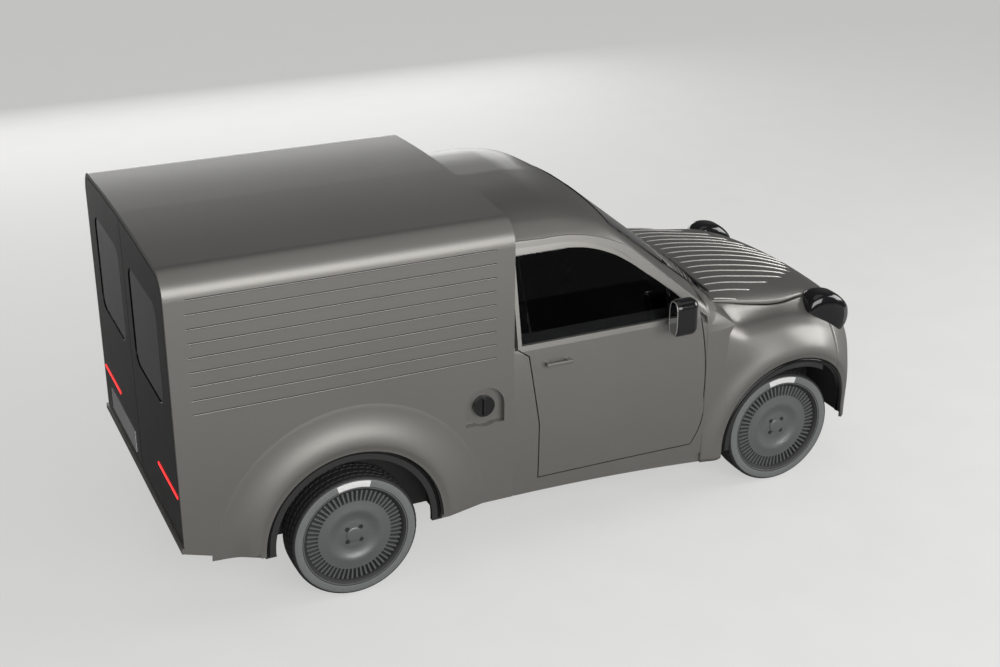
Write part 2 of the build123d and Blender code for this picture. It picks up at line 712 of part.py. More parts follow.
def stub(x, y0, y1):
    """Axle pin with a retaining head outside the hub of a left wheel."""
    tip = y1 + STUB_HEAD_GAP
    head = rod_y(x, TYRE_R, STUB_HEAD_R, tip, tip + STUB_HEAD_T)
    return rod_y(x, TYRE_R, STUB_R, y0, tip + 1) + head


def make_rear_axle():
    """Beam with stub axles, brake plates and two trailing arms to the rails."""
    plate = REAR_TRACK_HALF - 62
    half = stub(0, plate - 50, REAR_TRACK_HALF + STUB_END)
    half = half + rod_y(0, TYRE_R, BRAKE_R, plate, plate + 22) + rod_y(0, TYRE_R, BEAM_R, 0, plate)
    arm_y = RAIL_HALF + 98
    half = half + block(-20, 560, arm_y - 23, arm_y + 22, 285, 325)
    half = half + block(520, 598, RAIL_HALF + 10, arm_y + 22, 285, FLOOR_Z - FLOOR_T - RAIL_H)
    return both(half + block(520, 598, 0, RAIL_HALF + 20, 300, FLOOR_Z - FLOOR_T - RAIL_H))


def make_knuckle():
    """Left steering knuckle with kingpin, stub axle and brake plate."""
    body = block(WHEELBASE - 35, WHEELBASE + 35, KINGPIN_Y - 30, KINGPIN_Y + 40, 245, 390)
    body = body + rod_z(WHEELBASE, KINGPIN_Y, KINGPIN_R, ARM_LOW_Z - 6, ARM_TOP_Z + ARM_T + 6)
    body = body + stub(WHEELBASE, KINGPIN_Y + 30, FRONT_TRACK_HALF + STUB_END)
    return body + rod_y(WHEELBASE, TYRE_R, FRONT_BRAKE_R, KINGPIN_Y + 40, KINGPIN_Y + 58)


def make_front_subframe():
    """Box frame with wishbones at the kingpins, fixed struts and rails to the bumper."""
    a = WHEELBASE
    tip = KINGPIN_Y + 28
    low = block(a - 90, a + 30, 320, tip, ARM_LOW_Z, ARM_LOW_Z + ARM_T)
    top = block(a - 80, a + 24, 300, tip, ARM_TOP_Z, ARM_TOP_Z + ARM_T)
    strut = rod_z(a - 64, 400, 22, ARM_LOW_Z + 10, 600) + block(a - 94, a - 50, 290, 420, 560, 600)
    tower = block(a - 94, a - 50, 290, 330, 240, 600)
    bore = rod_z(a, KINGPIN_Y, KINGPIN_R + STUB_CLEAR, ARM_LOW_Z - 20, ARM_TOP_Z + 40)
    rail = block(a - 494, a - 80, 270, 330, 240, CAB_LOW)
    horn = block(a + 100, a + 520, 240, 300, 215, 275)
    half = (low + top + strut + tower + rail + horn) - bore
    frame = block(a - 100, a + 100, -330, 330, 190, 250) + both(half)
    return frame + block(a + 480, a + 540, -300, 300, 215, 275)


def make_drive_motor():
    """Closed motor and gearbox with the two drive shafts."""
    a = WHEELBASE
    motor = rod_y(a - 50, 400, 130, -180, 160) + block(a - 170, a + 70, -160, 150, 520, 640)
    motor = motor + block(a - 150, a + 50, -120, 120, 250, 300) + rod_y(a, 330, 60, -200, 190)
    return motor + both(rod_y(a, TYRE_R, 17, 150, KINGPIN_Y - 54))


def make_battery_pack():
    return block(BOX_FRONT - 190, FIREWALL_X - 25, -BODY_HALF + 220, BODY_HALF - 220, 205, CAB_LOW - 0.5)


def make_liner(x, r, y_in, y_out):
    """Left wheel housing: barrel, inner wall and a dark outer lip."""
    skin = r - 0.5
    barrel = rod_y(x, ARCH_Z, skin, y_in, y_out) - rod_y(x, ARCH_Z, r - LINER_T, y_in - 1, y_out + 1)
    lip = rod_y(x, ARCH_Z, skin, y_out - LIP_W, y_out) - rod_y(x, ARCH_Z, r - LIP_H, y_out - 30, y_out + 1)
    wall = rod_y(x, ARCH_Z, skin, y_in, y_in + LINER_T)
    return (barrel + lip + wall) & block(x - 500, x + 500, 0, BODY_HALF + 100, BOX_LOW, 900)


rear_liner = make_liner(0.0, ARCH_R, HOUSING_IN, BODY_HALF + 2) - block(-46, 46, 0, HOUSING_IN + 24, 200, 350)
front_liner = make_liner(WHEELBASE, FRONT_ARCH_R, BODY_HALF - 440, BODY_HALF - 14) & front_outer
front_liner = front_liner - block(WHEELBASE - 120, WHEELBASE + 50, 0, BODY_HALF - 420, 150, 620)
knuckle = make_knuckle()
export(make_rear_axle(), "rear_axle")
export(knuckle, "knuckle_left")
export(flip(knuckle), "knuckle_right")
export(make_front_subframe(), "front_subframe")
export(make_drive_motor(), "drive_motor")
export(make_battery_pack(), "battery_pack")
export(rear_liner, "arch_liner_rear_left")
export(flip(rear_liner), "arch_liner_rear_right")
export(front_liner, "arch_liner_front_left")
export(flip(front_liner), "arch_liner_front_right")


def make_sill():
    items = [(BOX_FRONT + 12, 321), ((BOX_FRONT + 400, 314), (FENDER_REAR, 272)), (FENDER_REAR, CAB_LOW),
             (BOX_FRONT + 12, CAB_LOW)]
    return side_prism(items, -BODY_HALF + 15, -BODY_HALF + 140)


sill = make_sill()
export(sill, "sill_right")
export(flip(sill), "sill_left")


# Rear doors with rounded windows, tail lamps and the blank number plate
def pane_prism(grow, x0, x1):
    wide = PANE_Y[1] - PANE_Y[0] + 2 * grow
    high = PANE_Z[1] - PANE_Z[0] + 2 * grow
    face = RectangleRounded(wide, high, PANE_ROUND + grow)
    place = Plane(origin=(x0, sum(PANE_Y) / 2, sum(PANE_Z) / 2), x_dir=(0, 1, 0), z_dir=(1, 0, 0))
    return place.location * extrude(face, amount=x1 - x0, dir=(0, 0, 1))


def make_rear_door():
    """Left leaf, cut for its window, the pane behind the skin and the lamp slot."""
    inset = BOX_RIM + REAR_DOOR_GAP
    low = REAR_SILL_Z + BUMPER_H + REAR_DOOR_GAP + 2
    leaf = cross_prism(box_half(inset, low), BOX_REAR, BOX_REAR + REAR_DOOR_T)
    leaf = leaf & block(BOX_REAR - 10, BOX_REAR + 60, REAR_MEET, BODY_HALF, 400, BOX_TOP)
    leaf = leaf - pane_prism(0.0, BOX_REAR - 10, BOX_REAR + 60)
    leaf = leaf - pane_prism(PANE_LAP, BOX_REAR + PANE_SET, BOX_REAR + PANE_SET + PANE_T)
    return leaf - tail_lamp(0.0)


def tail_lamp(proud):
    """Narrow light bar let into the door skin."""
    return block(BOX_REAR - proud, BOX_REAR + TAIL_DEEP, TAIL_IN, TAIL_OUT, TAIL_Z - TAIL_H / 2, TAIL_Z + TAIL_H / 2)


def make_number_plate():
    wide, high, thick = PLATE_SIZE
    y, z = PLATE_MID
    return block(BOX_REAR - thick, BOX_REAR, y - wide / 2, y + wide / 2, z - high / 2, z + high / 2)


rear_door = make_rear_door()
rear_pane = pane_prism(PANE_LAP, BOX_REAR + PANE_SET, BOX_REAR + PANE_SET + PANE_T)
lamp_bar = tail_lamp(2.0)
export(rear_door, "rear_door_left")
export(flip(rear_door), "rear_door_right")
export(rear_pane, "rear_glass_left")
export(flip(rear_pane), "rear_glass_right")
export(lamp_bar, "tail_lamp_left")
export(flip(lamp_bar), "tail_lamp_right")
export(make_number_plate(), "number_plate")


def make_wipers():
    """Two wiper arms resting at the foot of the windscreen, each on its spindle."""
    a = WHEELBASE
    arm = rod_between((a - 386, -120, 1118), (a - 440, -590, 1128), WIPER_R)
    arm = arm + rod_between((a - 388, 330, 1118), (a - 384, -60, 1118), WIPER_R)
    for y in (-120, 330):
        arm = arm + rod_z(a - 388, y, 12, 1070, 1122)
    return arm - cab_outer


# Cabin
def make_dashboard():
    """Dashboard with the steering column, its pin and two brackets to the bulkhead."""
    a = WHEELBASE
    w = BODY_HALF - 90
    items = [(a - 558, 700), (a - 558, 980), ((a - 640, 1012), (a - 730, 985)), ((a - 762, 930), (a - 740, 860)),
             (a - 640, 760)]
    dash = side_prism(items, -w, w)
    root = column_point(0.0)
    dash = dash + rod_between(root, column_point(COLUMN_LEN - 17), COLUMN_R)
    dash = dash + rod_between(root, column_point(COLUMN_LEN), PIN_R)
    bracket = block(a - 565, a - 500, 280, 340, 720, 790) & cab_room
    return dash + both(bracket)


def column_point(reach):
    """Point on the steering column, reach along it from its root."""
    length = math.hypot(COLUMN_RUN[0], COLUMN_RUN[1])
    x = WHEELBASE - 660 + COLUMN_RUN[0] * reach / length
    return (x, SEAT_MID - 5, 915 + COLUMN_RUN[1] * reach / length)


def make_steering_wheel():
    axis = Vector(*column_point(COLUMN_LEN)) - Vector(*column_point(0.0))
    place = Plane(origin=column_point(COLUMN_LEN), x_dir=(0, 1, 0), z_dir=axis)
    hub = Cylinder(44, 24) - Cylinder(PIN_R + STUB_CLEAR, 60)
    spokes = Box(2 * RIM_MID_R - 26, 26, 12) + Pos(0, -90, 0) * Box(26, 160, 12) - Cylinder(30, 60)
    return place.location * Pos(0, 0, 6) * (Torus(RIM_MID_R, GRIP_R) + hub + spokes)


def make_seat():
    """Left seat: cushion and back in one, with a head rest, on the cab floor."""
    low = CAB_LOW + CAB_WALL
    cushion = [(930, low), (1480, low), (1500, 600), ((1490, 655), (1440, 668)), (1110, 640), ((1060, 660), (1040, 720)),
               (955, 1220), ((910, 1255), (845, 1200)), (930, 640)]
    head = [(945, 1230), (952, 1395), ((915, 1422), (878, 1400)), (872, 1230)]
    seat = side_prism(cushion, SEAT_MID - SEAT_HALF, SEAT_MID + SEAT_HALF)
    return seat + side_prism(head, SEAT_MID - HEAD_HALF, SEAT_MID + HEAD_HALF)


seat = make_seat()
export(make_wipers(), "wipers")
export(make_dashboard(), "dashboard")
export(make_steering_wheel(), "steering_wheel")
export(seat, "seat_left")
export(flip(seat), "seat_right")
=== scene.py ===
"""Looks of the small panel van: smooth body skins, wheels, lamps, cabin and light."""
import json
import math

import bmesh
import bpy
from mathutils import Matrix, Vector


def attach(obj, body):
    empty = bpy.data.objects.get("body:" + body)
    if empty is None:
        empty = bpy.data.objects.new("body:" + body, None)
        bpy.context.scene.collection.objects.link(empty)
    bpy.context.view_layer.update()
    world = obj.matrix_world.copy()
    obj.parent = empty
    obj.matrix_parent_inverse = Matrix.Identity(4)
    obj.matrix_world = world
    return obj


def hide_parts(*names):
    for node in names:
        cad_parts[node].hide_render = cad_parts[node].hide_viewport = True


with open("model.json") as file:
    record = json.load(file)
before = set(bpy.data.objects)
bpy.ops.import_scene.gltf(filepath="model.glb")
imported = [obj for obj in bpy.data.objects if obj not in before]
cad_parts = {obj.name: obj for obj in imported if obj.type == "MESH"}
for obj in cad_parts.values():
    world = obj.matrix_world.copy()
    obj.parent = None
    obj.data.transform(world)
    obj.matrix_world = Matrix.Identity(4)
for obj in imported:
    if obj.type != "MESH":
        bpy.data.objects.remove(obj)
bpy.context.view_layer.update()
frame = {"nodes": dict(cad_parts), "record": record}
NODES = frame["nodes"]

# Millimetre stations are counted from the rear axle, as in the drawings of the van
MM = 0.001
AXLE_SHIFT = -1099.0
WHEELBASE = 2400.0
TYRE_R = 308.0
REAR_TRACK_HALF = 702.0
FRONT_TRACK_HALF = 597.0
ARCH_Z = 325.0
ARCH_R = 432.0
FRONT_ARCH_R = 420.0
CARGO_HALF = 780.0
SIDES = ((-1, "right"), (1, "left"))


def at(x, y, z):
    """Point in metres from millimetre stations."""
    return Vector(((x + AXLE_SHIFT) * MM, y * MM, z * MM))


# Materials
def new_material(name):
    """Empty material with its node tree and its main shader."""
    mat = bpy.data.materials.new(name)
    mat.use_nodes = True
    tree = mat.node_tree
    return mat, tree, tree.nodes["Principled BSDF"]


def link(tree, a, b):
    tree.links.new(a, b)


def noise_node(tree, scale, detail=4.0):
    """Noise over the object's own coordinates."""
    coords = tree.nodes.new("ShaderNodeTexCoord")
    tex = tree.nodes.new("ShaderNodeTexNoise")
    tex.inputs["Scale"].default_value = scale
    tex.inputs["Detail"].default_value = detail
    link(tree, coords.outputs["Object"], tex.inputs["Vector"])
    return tex.outputs["Fac"]


def ramp_node(tree, source, low, high):
    """Colour ramp between two colours, driven by a grey output."""
    ramp = tree.nodes.new("ShaderNodeValToRGB")
    for element, place, colour in zip(ramp.color_ramp.elements, (0.3, 0.7), (low, high)):
        element.position = place
        element.color = (*colour, 1.0)
    link(tree, source, ramp.inputs["Fac"])
    return ramp.outputs["Color"]


def range_node(tree, source, low, high):
    """Maps a 0 to 1 output onto low to high."""
    node = tree.nodes.new("ShaderNodeMapRange")
    node.inputs["To Min"].default_value = low
    node.inputs["To Max"].default_value = high
    link(tree, source, node.inputs["Value"])
    return node.outputs["Result"]


def bump_node(tree, height, distance, strength=1.0):
    """Surface grain whose height in metres is distance."""
    node = tree.nodes.new("ShaderNodeBump")
    node.inputs["Distance"].default_value = distance
    node.inputs["Strength"].default_value = strength
    link(tree, height, node.inputs["Height"])
    return node.outputs["Normal"]


def surface(name, low, high, rough, scale, bump=0.0, metallic=0.0, coat=0.0, coat_rough=0.05, specular=0.5):
    """A finish whose colour, roughness and grain all vary with one noise."""
    mat, tree, bsdf = new_material(name)
    grain = noise_node(tree, scale)
    link(tree, ramp_node(tree, grain, low, high), bsdf.inputs["Base Color"])
    link(tree, range_node(tree, grain, *rough), bsdf.inputs["Roughness"])
    bsdf.inputs["Metallic"].default_value = metallic
    bsdf.inputs["Coat Weight"].default_value = coat
    bsdf.inputs["Coat Roughness"].default_value = coat_rough
    bsdf.inputs["Specular IOR Level"].default_value = specular
    if bump:
        link(tree, bump_node(tree, grain, bump), bsdf.inputs["Normal"])
    return mat


PAINT_DRIFT = ((0.195, 0.19, 0.176), (0.215, 0.209, 0.194))
PAINT_FLAKE = ((0.16, 0.156, 0.144), (0.27, 0.262, 0.243))


def paint_material():
    """Warm silver-grey satin metallic: fine flake over a slow tone drift."""
    mat, tree, bsdf = new_material("body_paint")
    flake = noise_node(tree, 900.0, detail=2.0)
    drift = noise_node(tree, 1.2, detail=3.0)
    mix = tree.nodes.new("ShaderNodeMix")
    mix.data_type = "RGBA"
    mix.inputs["Factor"].default_value = 0.35
    link(tree, ramp_node(tree, drift, *PAINT_DRIFT), mix.inputs["A"])
    link(tree, ramp_node(tree, flake, *PAINT_FLAKE), mix.inputs["B"])
    link(tree, mix.outputs["Result"], bsdf.inputs["Base Color"])
    link(tree, range_node(tree, flake, 0.38, 0.48), bsdf.inputs["Roughness"])
    link(tree, bump_node(tree, flake, 0.00003, 0.35), bsdf.inputs["Normal"])
    bsdf.inputs["Metallic"].default_value = 0.65
    bsdf.inputs["Coat Weight"].default_value = 0.2
    bsdf.inputs["Coat Roughness"].default_value = 0.2
    return mat


def glass_material(name, tint):
    """Clear tinted glass."""
    mat, tree, bsdf = new_material(name)
    grain = noise_node(tree, 30.0)
    link(tree, ramp_node(tree, grain, tint, [c * 1.12 for c in tint]), bsdf.inputs["Base Color"])
    link(tree, range_node(tree, grain, 0.0, 0.02), bsdf.inputs["Roughness"])
    bsdf.inputs["Transmission Weight"].default_value = 1.0
    bsdf.inputs["IOR"].default_value = 1.45
    return mat


def lamp_material(name, colour, strength):
    """Coloured lens that glows."""
    mat, tree, bsdf = new_material(name)
    glow = ramp_node(tree, noise_node(tree, 60.0), [c * 0.85 for c in colour], colour)
    link(tree, glow, bsdf.inputs["Base Color"])
    link(tree, glow, bsdf.inputs["Emission Color"])
    bsdf.inputs["Emission Strength"].default_value = strength
    bsdf.inputs["Roughness"].default_value = 0.2
    return mat


def weave_material():
    """Woven seat cloth: crossed waves for the threads with a soft fleck."""
    mat, tree, bsdf = new_material("cabin_fabric")
    coords = tree.nodes.new("ShaderNodeTexCoord")
    both = tree.nodes.new("ShaderNodeMath")
    both.operation = "MULTIPLY"
    for axis, factor in zip(("X", "Z"), both.inputs):
        wave = tree.nodes.new("ShaderNodeTexWave")
        wave.bands_direction = axis
        wave.inputs["Scale"].default_value = 260.0
        wave.inputs["Distortion"].default_value = 0.6
        link(tree, coords.outputs["Object"], wave.inputs["Vector"])
        link(tree, wave.outputs["Fac"], factor)
    fleck = noise_node(tree, 140.0)
    link(tree, ramp_node(tree, fleck, (0.045, 0.046, 0.05), (0.085, 0.086, 0.09)), bsdf.inputs["Base Color"])
    link(tree, bump_node(tree, both.outputs[0], 0.0006), bsdf.inputs["Normal"])
    link(tree, range_node(tree, fleck, 0.75, 0.9), bsdf.inputs["Roughness"])
    bsdf.inputs["Sheen Weight"].default_value = 0.3
    return mat


BLACKEST = ((0.003, 0.003, 0.003), (0.006, 0.006, 0.006), (0.16, 0.24), 8.0)
# Name, darkest and lightest colour, range of roughness, scale of the grain, and what is special
FINISHES = (
    ("gloss_black", (0.004, 0.004, 0.005), (0.008, 0.008, 0.009), (0.10, 0.16), 8.0, {"coat": 0.3}),
    ("deep_black", *BLACKEST, {"specular": 0.12}),
    ("ring_black", *BLACKEST, {"specular": 0.3}),
    ("liner_black", (0.012, 0.012, 0.012), (0.022, 0.022, 0.021), (0.5, 0.7), 420.0, {"bump": 0.0003}),
    ("tyre_rubber", (0.014, 0.014, 0.014), (0.026, 0.026, 0.025), (0.55, 0.75), 260.0, {"bump": 0.0002}),
    ("wheel_paint", (0.155, 0.16, 0.16), (0.185, 0.19, 0.19), (0.3, 0.4), 500.0,
     {"bump": 0.00002, "metallic": 0.55, "coat": 0.2, "coat_rough": 0.2}),
    ("chassis_metal", (0.02, 0.02, 0.021), (0.045, 0.044, 0.042), (0.45, 0.65), 90.0, {"bump": 0.0003}),
    ("machined_steel", (0.32, 0.32, 0.33), (0.5, 0.5, 0.5), (0.3, 0.5), 70.0,
     {"bump": 0.0002, "metallic": 0.9}),
    ("cabin_plastic", (0.025, 0.025, 0.027), (0.04, 0.04, 0.043), (0.5, 0.65), 380.0, {"bump": 0.0003}),
    ("plate_white", (0.62, 0.63, 0.65), (0.7, 0.71, 0.72), (0.2, 0.3), 220.0, {"bump": 0.00003, "coat": 0.4}),
    # Painted highlight: this light grey on the bonnet ribs stands in for the light their tops catch; the
    # mirror rims use it too
    ("light_rim_and_rib_highlight", (0.40, 0.39, 0.365), (0.46, 0.45, 0.42), (0.3, 0.4), 500.0, {"metallic": 0.5}),
    # Painted sheen: a grey ring standing in for the light reflected by the tyre's sidewall bulge
    ("sheen_ring_painted", (0.13, 0.135, 0.135), (0.16, 0.165, 0.165), (0.5, 0.62), 160.0, {"bump": 0.0001}),
    # Painted highlight: the white patch at the top of the tyre's sheen ring
    ("highlight_patch_painted", (0.66, 0.66, 0.65), (0.72, 0.72, 0.71), (0.45, 0.55), 200.0, {"bump": 0.00005}),
    # Painted shade in the wheel slots, bolt wells and cargo side grooves; also the real black window trim
    ("black_trim_and_painted_shade", (0.012, 0.013, 0.014), (0.02, 0.021, 0.022), (0.4, 0.6), 120.0, {}),
    ("lens_smoke", (0.03, 0.032, 0.035), (0.05, 0.052, 0.055), (0.03, 0.07), 14.0, {"coat": 1.0}),
    ("mirror_silver", (0.34, 0.35, 0.36), (0.38, 0.39, 0.40), (0.02, 0.04), 5.0, {"metallic": 1.0}),
    ("floor_board", (0.03, 0.03, 0.03), (0.06, 0.058, 0.055), (0.55, 0.75), 50.0, {"bump": 0.0004}),
)
MATERIALS = {name: surface(name, *look, **special) for name, *look, special in FINISHES}
MATERIALS["body_paint"] = paint_material()
MATERIALS["tinted_glass"] = glass_material("tinted_glass", (0.23, 0.232, 0.24))
MATERIALS["cabin_fabric"] = weave_material()
MATERIALS["lamp_red"] = lamp_material("lamp_red", (0.9, 0.02, 0.02), 3.0)
for sub in frame["record"]["subparts"]:
    node = NODES[sub["node"]]
    node.data.materials.clear()
    node.data.materials.append(MATERIALS[sub["material_slot"]])


# Mesh helpers
WELD = 0.00005
SHARP_ANGLE = 38.0
EDGE_ANGLE = 35.0


def make_piece(name, verts, faces, materials, body, smooth=True):
    """Outward-facing mesh from millimetre points; a face may come with the index of its finish."""
    mesh = bpy.data.meshes.new(name)
    plain = [f[0] if isinstance(f[0], tuple) else f for f in faces]
    mesh.from_pydata([at(*v) for v in verts], [], plain)
    for key in materials:
        mesh.materials.append(MATERIALS[key])
    for poly, f in zip(mesh.polygons, faces):
        poly.use_smooth = smooth
        if isinstance(f[0], tuple):
            poly.material_index = f[1]
    mesh.validate()
    obj = bpy.data.objects.new(name, mesh)
    bpy.context.scene.collection.objects.link(obj)
    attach(obj, body)
    face_out(mesh)
    return obj


def face_out(mesh):
    """Weld seams, turn all faces outward and keep the creases sharp."""
    bm = bmesh.new()
    bm.from_mesh(mesh)
    bmesh.ops.remove_doubles(bm, verts=bm.verts, dist=WELD)
    bmesh.ops.recalc_face_normals(bm, faces=bm.faces)
    bm.to_mesh(mesh)
    bm.free()
    mesh.set_sharp_from_angle(angle=math.radians(SHARP_ANGLE))


def copy_node(node, name):
    """A piece with a node's own mesh, at the node's place."""
    obj = bpy.data.objects.new(name, node.data.copy())
    obj.matrix_world = node.matrix_world.copy()
    bpy.context.scene.collection.objects.link(obj)
    return obj


def grid_faces(rows, cols, start=0, wrap=False):
    """Quads over a grid of points, row by row; wrap closes each row into a ring."""
    out = []
    for i in range(rows - 1):
        near = start + i * cols
        far = near + cols
        for j in range(cols if wrap else cols - 1):
            k = (j + 1) % cols
            out.append((near + j, near + k, far + k, far + j))
    return out


def thicken(obj, depth_mm):
    """Give a skin its thickness, inward."""
    mod = obj.modifiers.new("thickness", "SOLIDIFY")
    mod.thickness = depth_mm * MM
    mod.offset = -1.0


def soften(obj, width_mm):
    """Round the edges of a plain CAD piece."""
    mod = obj.modifiers.new("edges", "BEVEL")
    mod.width = width_mm * MM
    mod.segments = 2
    mod.limit_method = "ANGLE"
    mod.angle_limit = math.radians(EDGE_ANGLE)
    mod.harden_normals = False


def smoothstep(t):
    t = max(0.0, min(1.0, t))
    return t * t * (3.0 - 2.0 * t)


def centre_of(verts, face):
    """Middle of a quad."""
    return [sum(verts[k][c] for k in face) / 4 for c in range(3)]


# Front body surface: half sections of (y, z), from the centre outward, at stations along the van
STATIONS = (1856, 1930, 2000, 2140, 2333, 2547, 2690, 2800, 2880, 2940, 2985)
SECTIONS = (
    ((0, 1104), (300, 1104), (480, 1150), (589, 1184), (650, 1170), (703, 1157), (742, 1135), (763, 1093),
     (772, 1030), (777, 900), (780, 700), (774, 330)),
    ((0, 1104), (300, 1104), (480, 1118), (589, 1124), (645, 1106), (688, 1084), (720, 1056), (742, 1018),
     (758, 960), (772, 880), (779, 700), (774, 330)),
    ((0, 1104), (300, 1096), (480, 1082), (590, 1062), (628, 1048), (655, 1030), (684, 1010), (716, 982),
     (745, 940), (768, 860), (777, 700), (774, 330)),
    ((0, 1100), (300, 1090), (470, 1072), (560, 1042), (592, 1015), (617, 985), (650, 953), (692, 935),
     (736, 900), (766, 830), (776, 700), (774, 330)),
    ((0, 1078), (300, 1063), (450, 1044), (528, 1020), (556, 1000), (582, 970), (617, 950), (666, 938),
     (722, 905), (761, 840), (774, 700), (772, 330)),
    ((0, 1035), (300, 1022), (430, 1012), (498, 1001), (528, 985), (558, 955), (596, 926), (646, 905),
     (702, 868), (744, 800), (760, 690), (757, 330)),
    ((0, 990), (280, 980), (400, 972), (463, 963), (492, 948), (522, 920), (562, 887), (611, 862),
     (662, 822), (703, 755), (724, 660), (724, 330)),
    ((0, 945), (260, 936), (370, 927), (428, 916), (455, 900), (484, 872), (521, 841), (566, 812),
     (611, 770), (647, 700), (667, 620), (667, 330)),
    ((0, 898), (230, 890), (330, 880), (384, 868), (410, 850), (436, 822), (468, 793), (505, 765),
     (541, 725), (567, 670), (581, 600), (582, 330)),
    ((0, 835), (190, 828), (270, 818), (314, 805), (336, 788), (359, 765), (385, 738), (415, 710),
     (442, 675), (460, 630), (470, 580), (472, 330)),
    ((0, 690), (100, 688), (150, 684), (182, 677), (202, 668), (223, 655), (246, 640), (268, 622),
     (288, 600), (302, 570), (310, 540), (312, 330)),
)
SECTION_STEPS = 8


def monotone(xs, ys, x):
    """Cubic through the points that doesn't overshoot them."""
    last = len(xs) - 1
    x = max(xs[0], min(xs[-1], x))
    i = 0
    while i < last - 1 and x > xs[i + 1]:
        i += 1

    def rise(k):
        return (ys[k + 1] - ys[k]) / (xs[k + 1] - xs[k])

    def slope(k):
        if k in (0, last):
            return rise(min(k, last - 1))
        a = rise(k - 1)
        b = rise(k)
        return 0.0 if a * b <= 0 else 2 * a * b / (a + b)

    h = xs[i + 1] - xs[i]
    t = (x - xs[i]) / h
    return (ys[i] * (1 + 2 * t) * (1 - t) ** 2 + h * slope(i) * t * (1 - t) ** 2
            + ys[i + 1] * t * t * (3 - 2 * t) + h * slope(i + 1) * t * t * (t - 1))


def catmull(points, t):
    """Point on the centripetal cubic between the middle two of four points."""
    knots = [0.0]
    for p, q in zip(points, points[1:]):
        knots.append(knots[-1] + max(1e-6, math.dist(p, q)) ** 0.5)
    t0, t1, t2, t3 = knots
    u = t1 + (t2 - t1) * t
    out = []
    for a, b, c, d in zip(*points):
        a1 = (t1 - u) / (t1 - t0) * a + (u - t0) / (t1 - t0) * b
        a2 = (t2 - u) / (t2 - t1) * b + (u - t1) / (t2 - t1) * c
        a3 = (t3 - u) / (t3 - t2) * c + (u - t2) / (t3 - t2) * d
        b1 = (t2 - u) / (t2 - t0) * a1 + (u - t0) / (t2 - t0) * a2
        b2 = (t3 - u) / (t3 - t1) * a2 + (u - t1) / (t3 - t1) * a3
        out.append((t2 - u) / (t2 - t1) * b1 + (u - t1) / (t2 - t1) * b2)
    return tuple(out)


def section_curve(x):
    """Smooth half section at station x as a dense list of (y, z)."""
    ctrl = []
    for k in range(len(SECTIONS[0])):
        ctrl.append(tuple(monotone(STATIONS, [s[k][c] for s in SECTIONS], x) for c in (0, 1)))
    # One point mirrored over the centre and one straight below the end give the end slopes
    full = [(-ctrl[1][0], ctrl[1][1])] + ctrl + [(ctrl[-1][0], ctrl[-1][1] - 200)]
    out = []
    for i in range(1, len(ctrl)):
        out += [catmull(full[i - 1:i + 3], j / SECTION_STEPS) for j in range(SECTION_STEPS)]
    out.append(ctrl[-1])
    return out


def point_at_y(curve, y):
    """Index and height where the half section first reaches y."""
    for i in range(len(curve) - 1):
        y0, z0 = curve[i]
        y1, z1 = curve[i + 1]
        if y0 <= y <= y1 and y1 > y0:
            return i, z0 + (z1 - z0) * (y - y0) / (y1 - y0)
    return len(curve) - 2, curve[-1][1]


def resample(points, count):
    """Even points along a polyline."""
    total = [0.0]
    for p, q in zip(points, points[1:]):
        total.append(total[-1] + math.dist(p, q))
    out = []
    k = 0
    for i in range(count):
        s = total[-1] * i / (count - 1)
        while k < len(points) - 2 and total[k + 1] < s:
            k += 1
        span = max(1e-9, total[k + 1] - total[k])
        t = max(0.0, min(1.0, (s - total[k]) / span))
        out.append(tuple(a + (b - a) * t for a, b in zip(points[k], points[k + 1])))
    return out


# Bonnet outline in plan: half width at each station up to the round tip, and the bowed rear edge
BONNET_REAR = 1984
BONNET_TIP = 2880
BONNET_X = (BONNET_REAR, 2200, 2420, 2640)
BONNET_Y = (584, 574, 560, 512)
BONNET_TIP_POWER = 2.3
BONNET_BOW = 56.0
BONNET_THICK = 16.0
SHUT_GAP = 5.0


def bonnet_half(x):
    """Half width of the bonnet at station x."""
    if x < BONNET_X[-1]:
        return monotone(BONNET_X, BONNET_Y, x)
    t = min(1.0, (x - BONNET_X[-1]) / (BONNET_TIP - BONNET_X[-1]))
    return BONNET_Y[-1] * math.sqrt(max(0.0, 1.0 - t ** BONNET_TIP_POWER))


def rear_bow(y):
    """How much further forward the bonnet starts at width y than at its corners."""
    return BONNET_BOW * (1.0 - min(1.0, abs(y) / BONNET_Y[0]) ** 2)


def skin_y(x, z):
    """Half width of the front body at station x and height z, on its outer side."""
    curve = section_curve(x)
    for (y0, z0), (y1, z1) in zip(curve[::-1], curve[-2::-1]):
        if z0 <= z <= z1:
            return y0 + (y1 - y0) * (z - z0) / max(1e-6, z1 - z0)
    return curve[-1][0]


def make_bonnet():
    """Lid skin whose rows close up toward the tip and bow along the windscreen."""
    rows = 70
    cols = 81
    verts = []
    curves = {}
    for i in range(rows):
        u = i / (rows - 1)
        row_x = BONNET_REAR + (BONNET_TIP - BONNET_REAR) * math.sin(u * math.pi / 2)
        half = bonnet_half(row_x)
        for j in range(cols):
            y = half * (2 * j / (cols - 1) - 1)
            x = row_x + rear_bow(y) * (1 - u) ** 4
            key = round(x, 1)
            if key not in curves:
                curves[key] = section_curve(x)
            verts.append((x, y, point_at_y(curves[key], abs(y))[1]))
    bonnet = make_piece("bonnet_skin", verts, grid_faces(rows, cols), ["body_paint"], "bonnet")
    thicken(bonnet, BONNET_THICK)
    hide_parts("bonnet")


# Bonnet ribs: how far forward each one reaches, by its place across, and their section in (y, z)
RIB_COUNT = 17
RIB_HALF = 560.0
RIB_TIPS_Y = (0, 111, 200, 280, 330, 390, 450, 530, 570)
RIB_TIPS_X = (2850, 2797, 2742, 2660, 2610, 2505, 2370, 2200, 2140)
RIB_SECTION = ((-4.5, -1.0), (-2.6, 2.6), (-0.9, 4.1), (0.9, 4.1), (2.6, 2.6), (4.5, -1.0))
RIB_SET_BACK = 26.0
RIB_END_WIDTH = 0.35
RIB_REAR_TAPER = 22
RIB_FRONT_TAPER = 14


